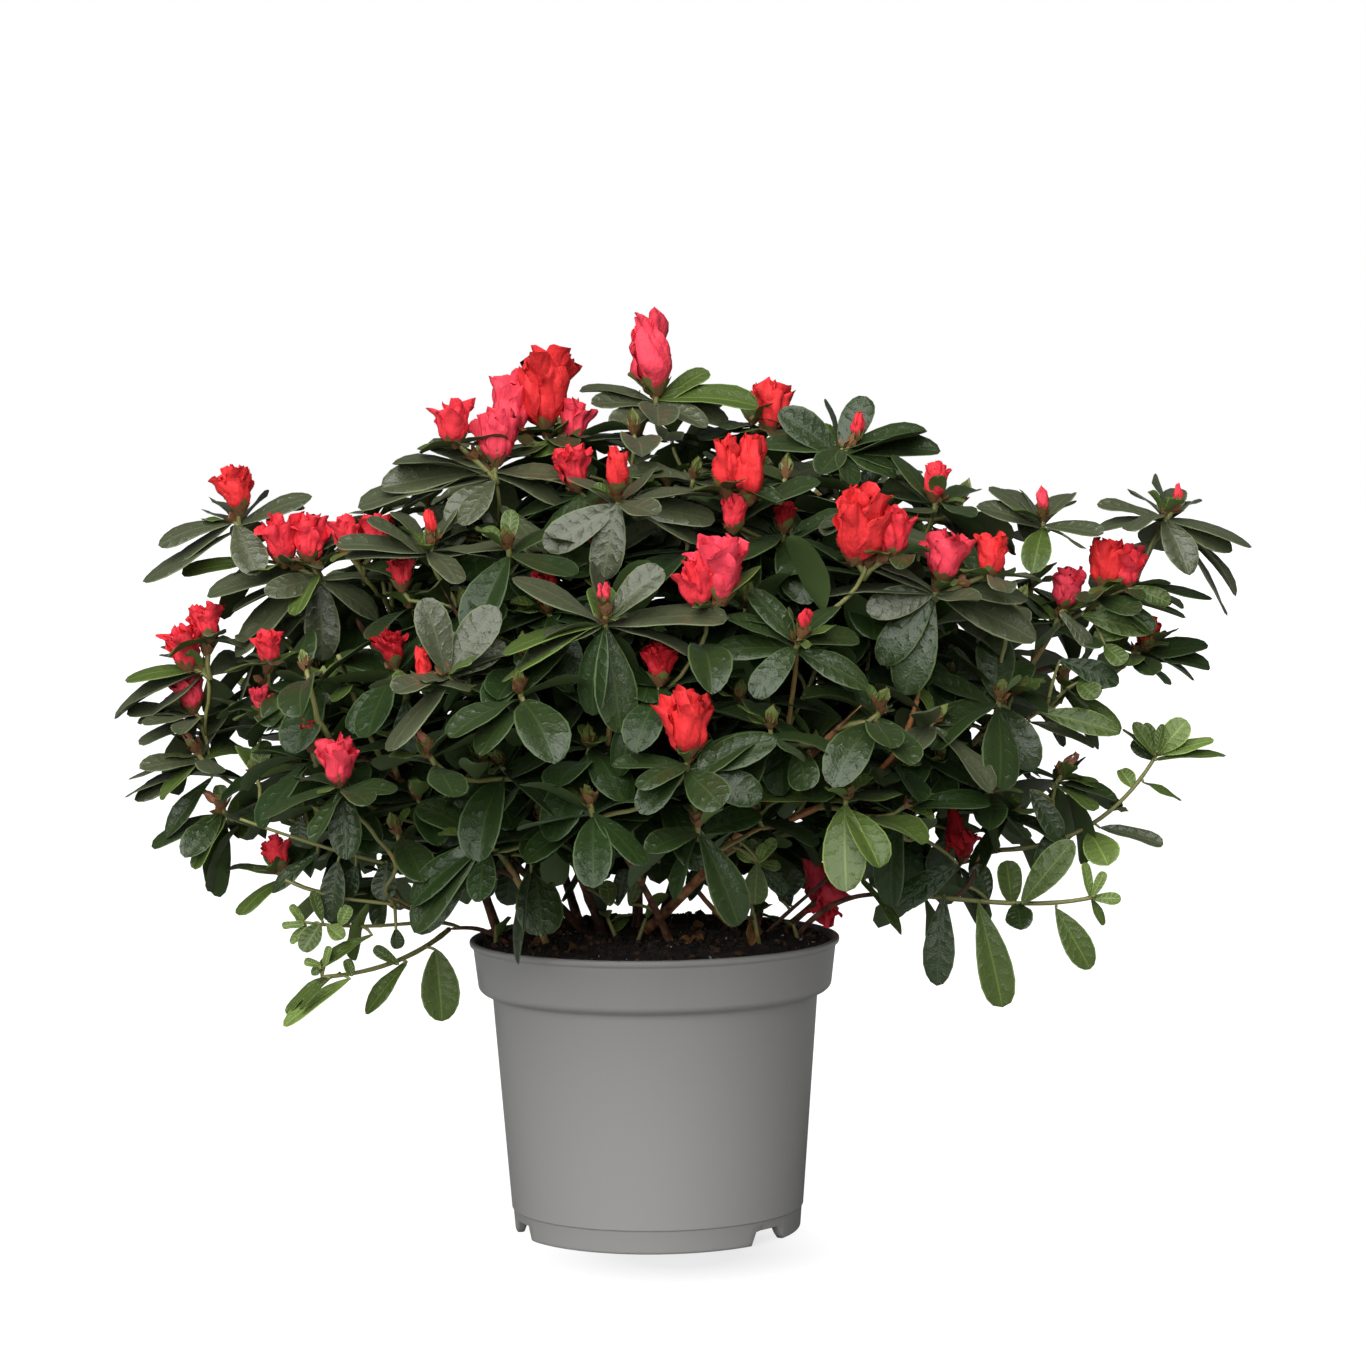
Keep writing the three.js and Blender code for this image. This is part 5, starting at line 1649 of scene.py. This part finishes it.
def make_stage():
    mesh = bpy.data.meshes.new("floor")
    corners = [(x * FLOOR_HALF, y * FLOOR_HALF, 0) for x, y in ((-1, -1), (1, -1), (1, 1), (-1, 1))]
    mesh.from_pydata(corners, [], [(0, 1, 2, 3)])
    floor = bpy.data.objects.new("floor", mesh)
    bpy.context.scene.collection.objects.link(floor)
    material = bpy.data.materials.new("floor_white")
    material.use_nodes = True
    tree = material.node_tree
    tree.nodes.clear()
    white, bounced = (node_in(tree, "BsdfDiffuse", Color=(grey, grey, grey, 1))
                      for grey in (FLOOR_WHITE, FLOOR_BOUNCE))
    place, apart = node_in(tree, "TexCoord"), node_in(tree, "VectorMath")
    apart.operation = "DISTANCE"
    apart.inputs[1].default_value = SHADE_AT
    tree.links.new(place.outputs["Object"], apart.inputs[0])
    glow = node_in(tree, "Emission")
    fade = range_node(tree, apart.outputs["Value"], SHADE_RADII, SHADE_GLOW)
    tree.links.new(fade, glow.inputs["Strength"])
    seen = node_in(tree, "AddShader")
    tree.links.new(white.outputs[0], seen.inputs[0])
    tree.links.new(glow.outputs[0], seen.inputs[1])
    tree.links.new(pick_node(tree, bounced, seen), node_in(tree, "OutputMaterial").inputs["Surface"])
    mesh.materials.append(material)


def make_light():
    world = bpy.data.worlds.new("studio")
    bpy.context.scene.world = world
    world.use_nodes = True
    tree = world.node_tree
    room = tree.nodes["Background"]
    backdrop = node_in(tree, "Background", Color=(1, 1, 1, 1))
    place, parts = node_in(tree, "TexCoord"), node_in(tree, "SeparateXYZ")
    tree.links.new(place.outputs["Generated"], parts.inputs[0])
    rise = range_node(tree, parts.outputs["Z"], SKY_RISE, (SKY_SIDE, SKY_TOP))
    tree.links.new(rise, room.inputs["Strength"])
    tree.links.new(pick_node(tree, room, backdrop), tree.nodes["World Output"].inputs["Surface"])
    sun = bpy.data.lights.new("soft_sun", "SUN")
    sun.energy, sun.angle = SUN_POWER, SUN_WIDTH
    lamp = bpy.data.objects.new("soft_sun", sun)
    lamp.rotation_euler = Vector(SUN_FROM).to_track_quat("Z", "Y").to_euler()
    bpy.context.scene.collection.objects.link(lamp)


make_camera()
make_stage()
make_light()
bpy.context.scene.view_settings.view_transform = "Standard"
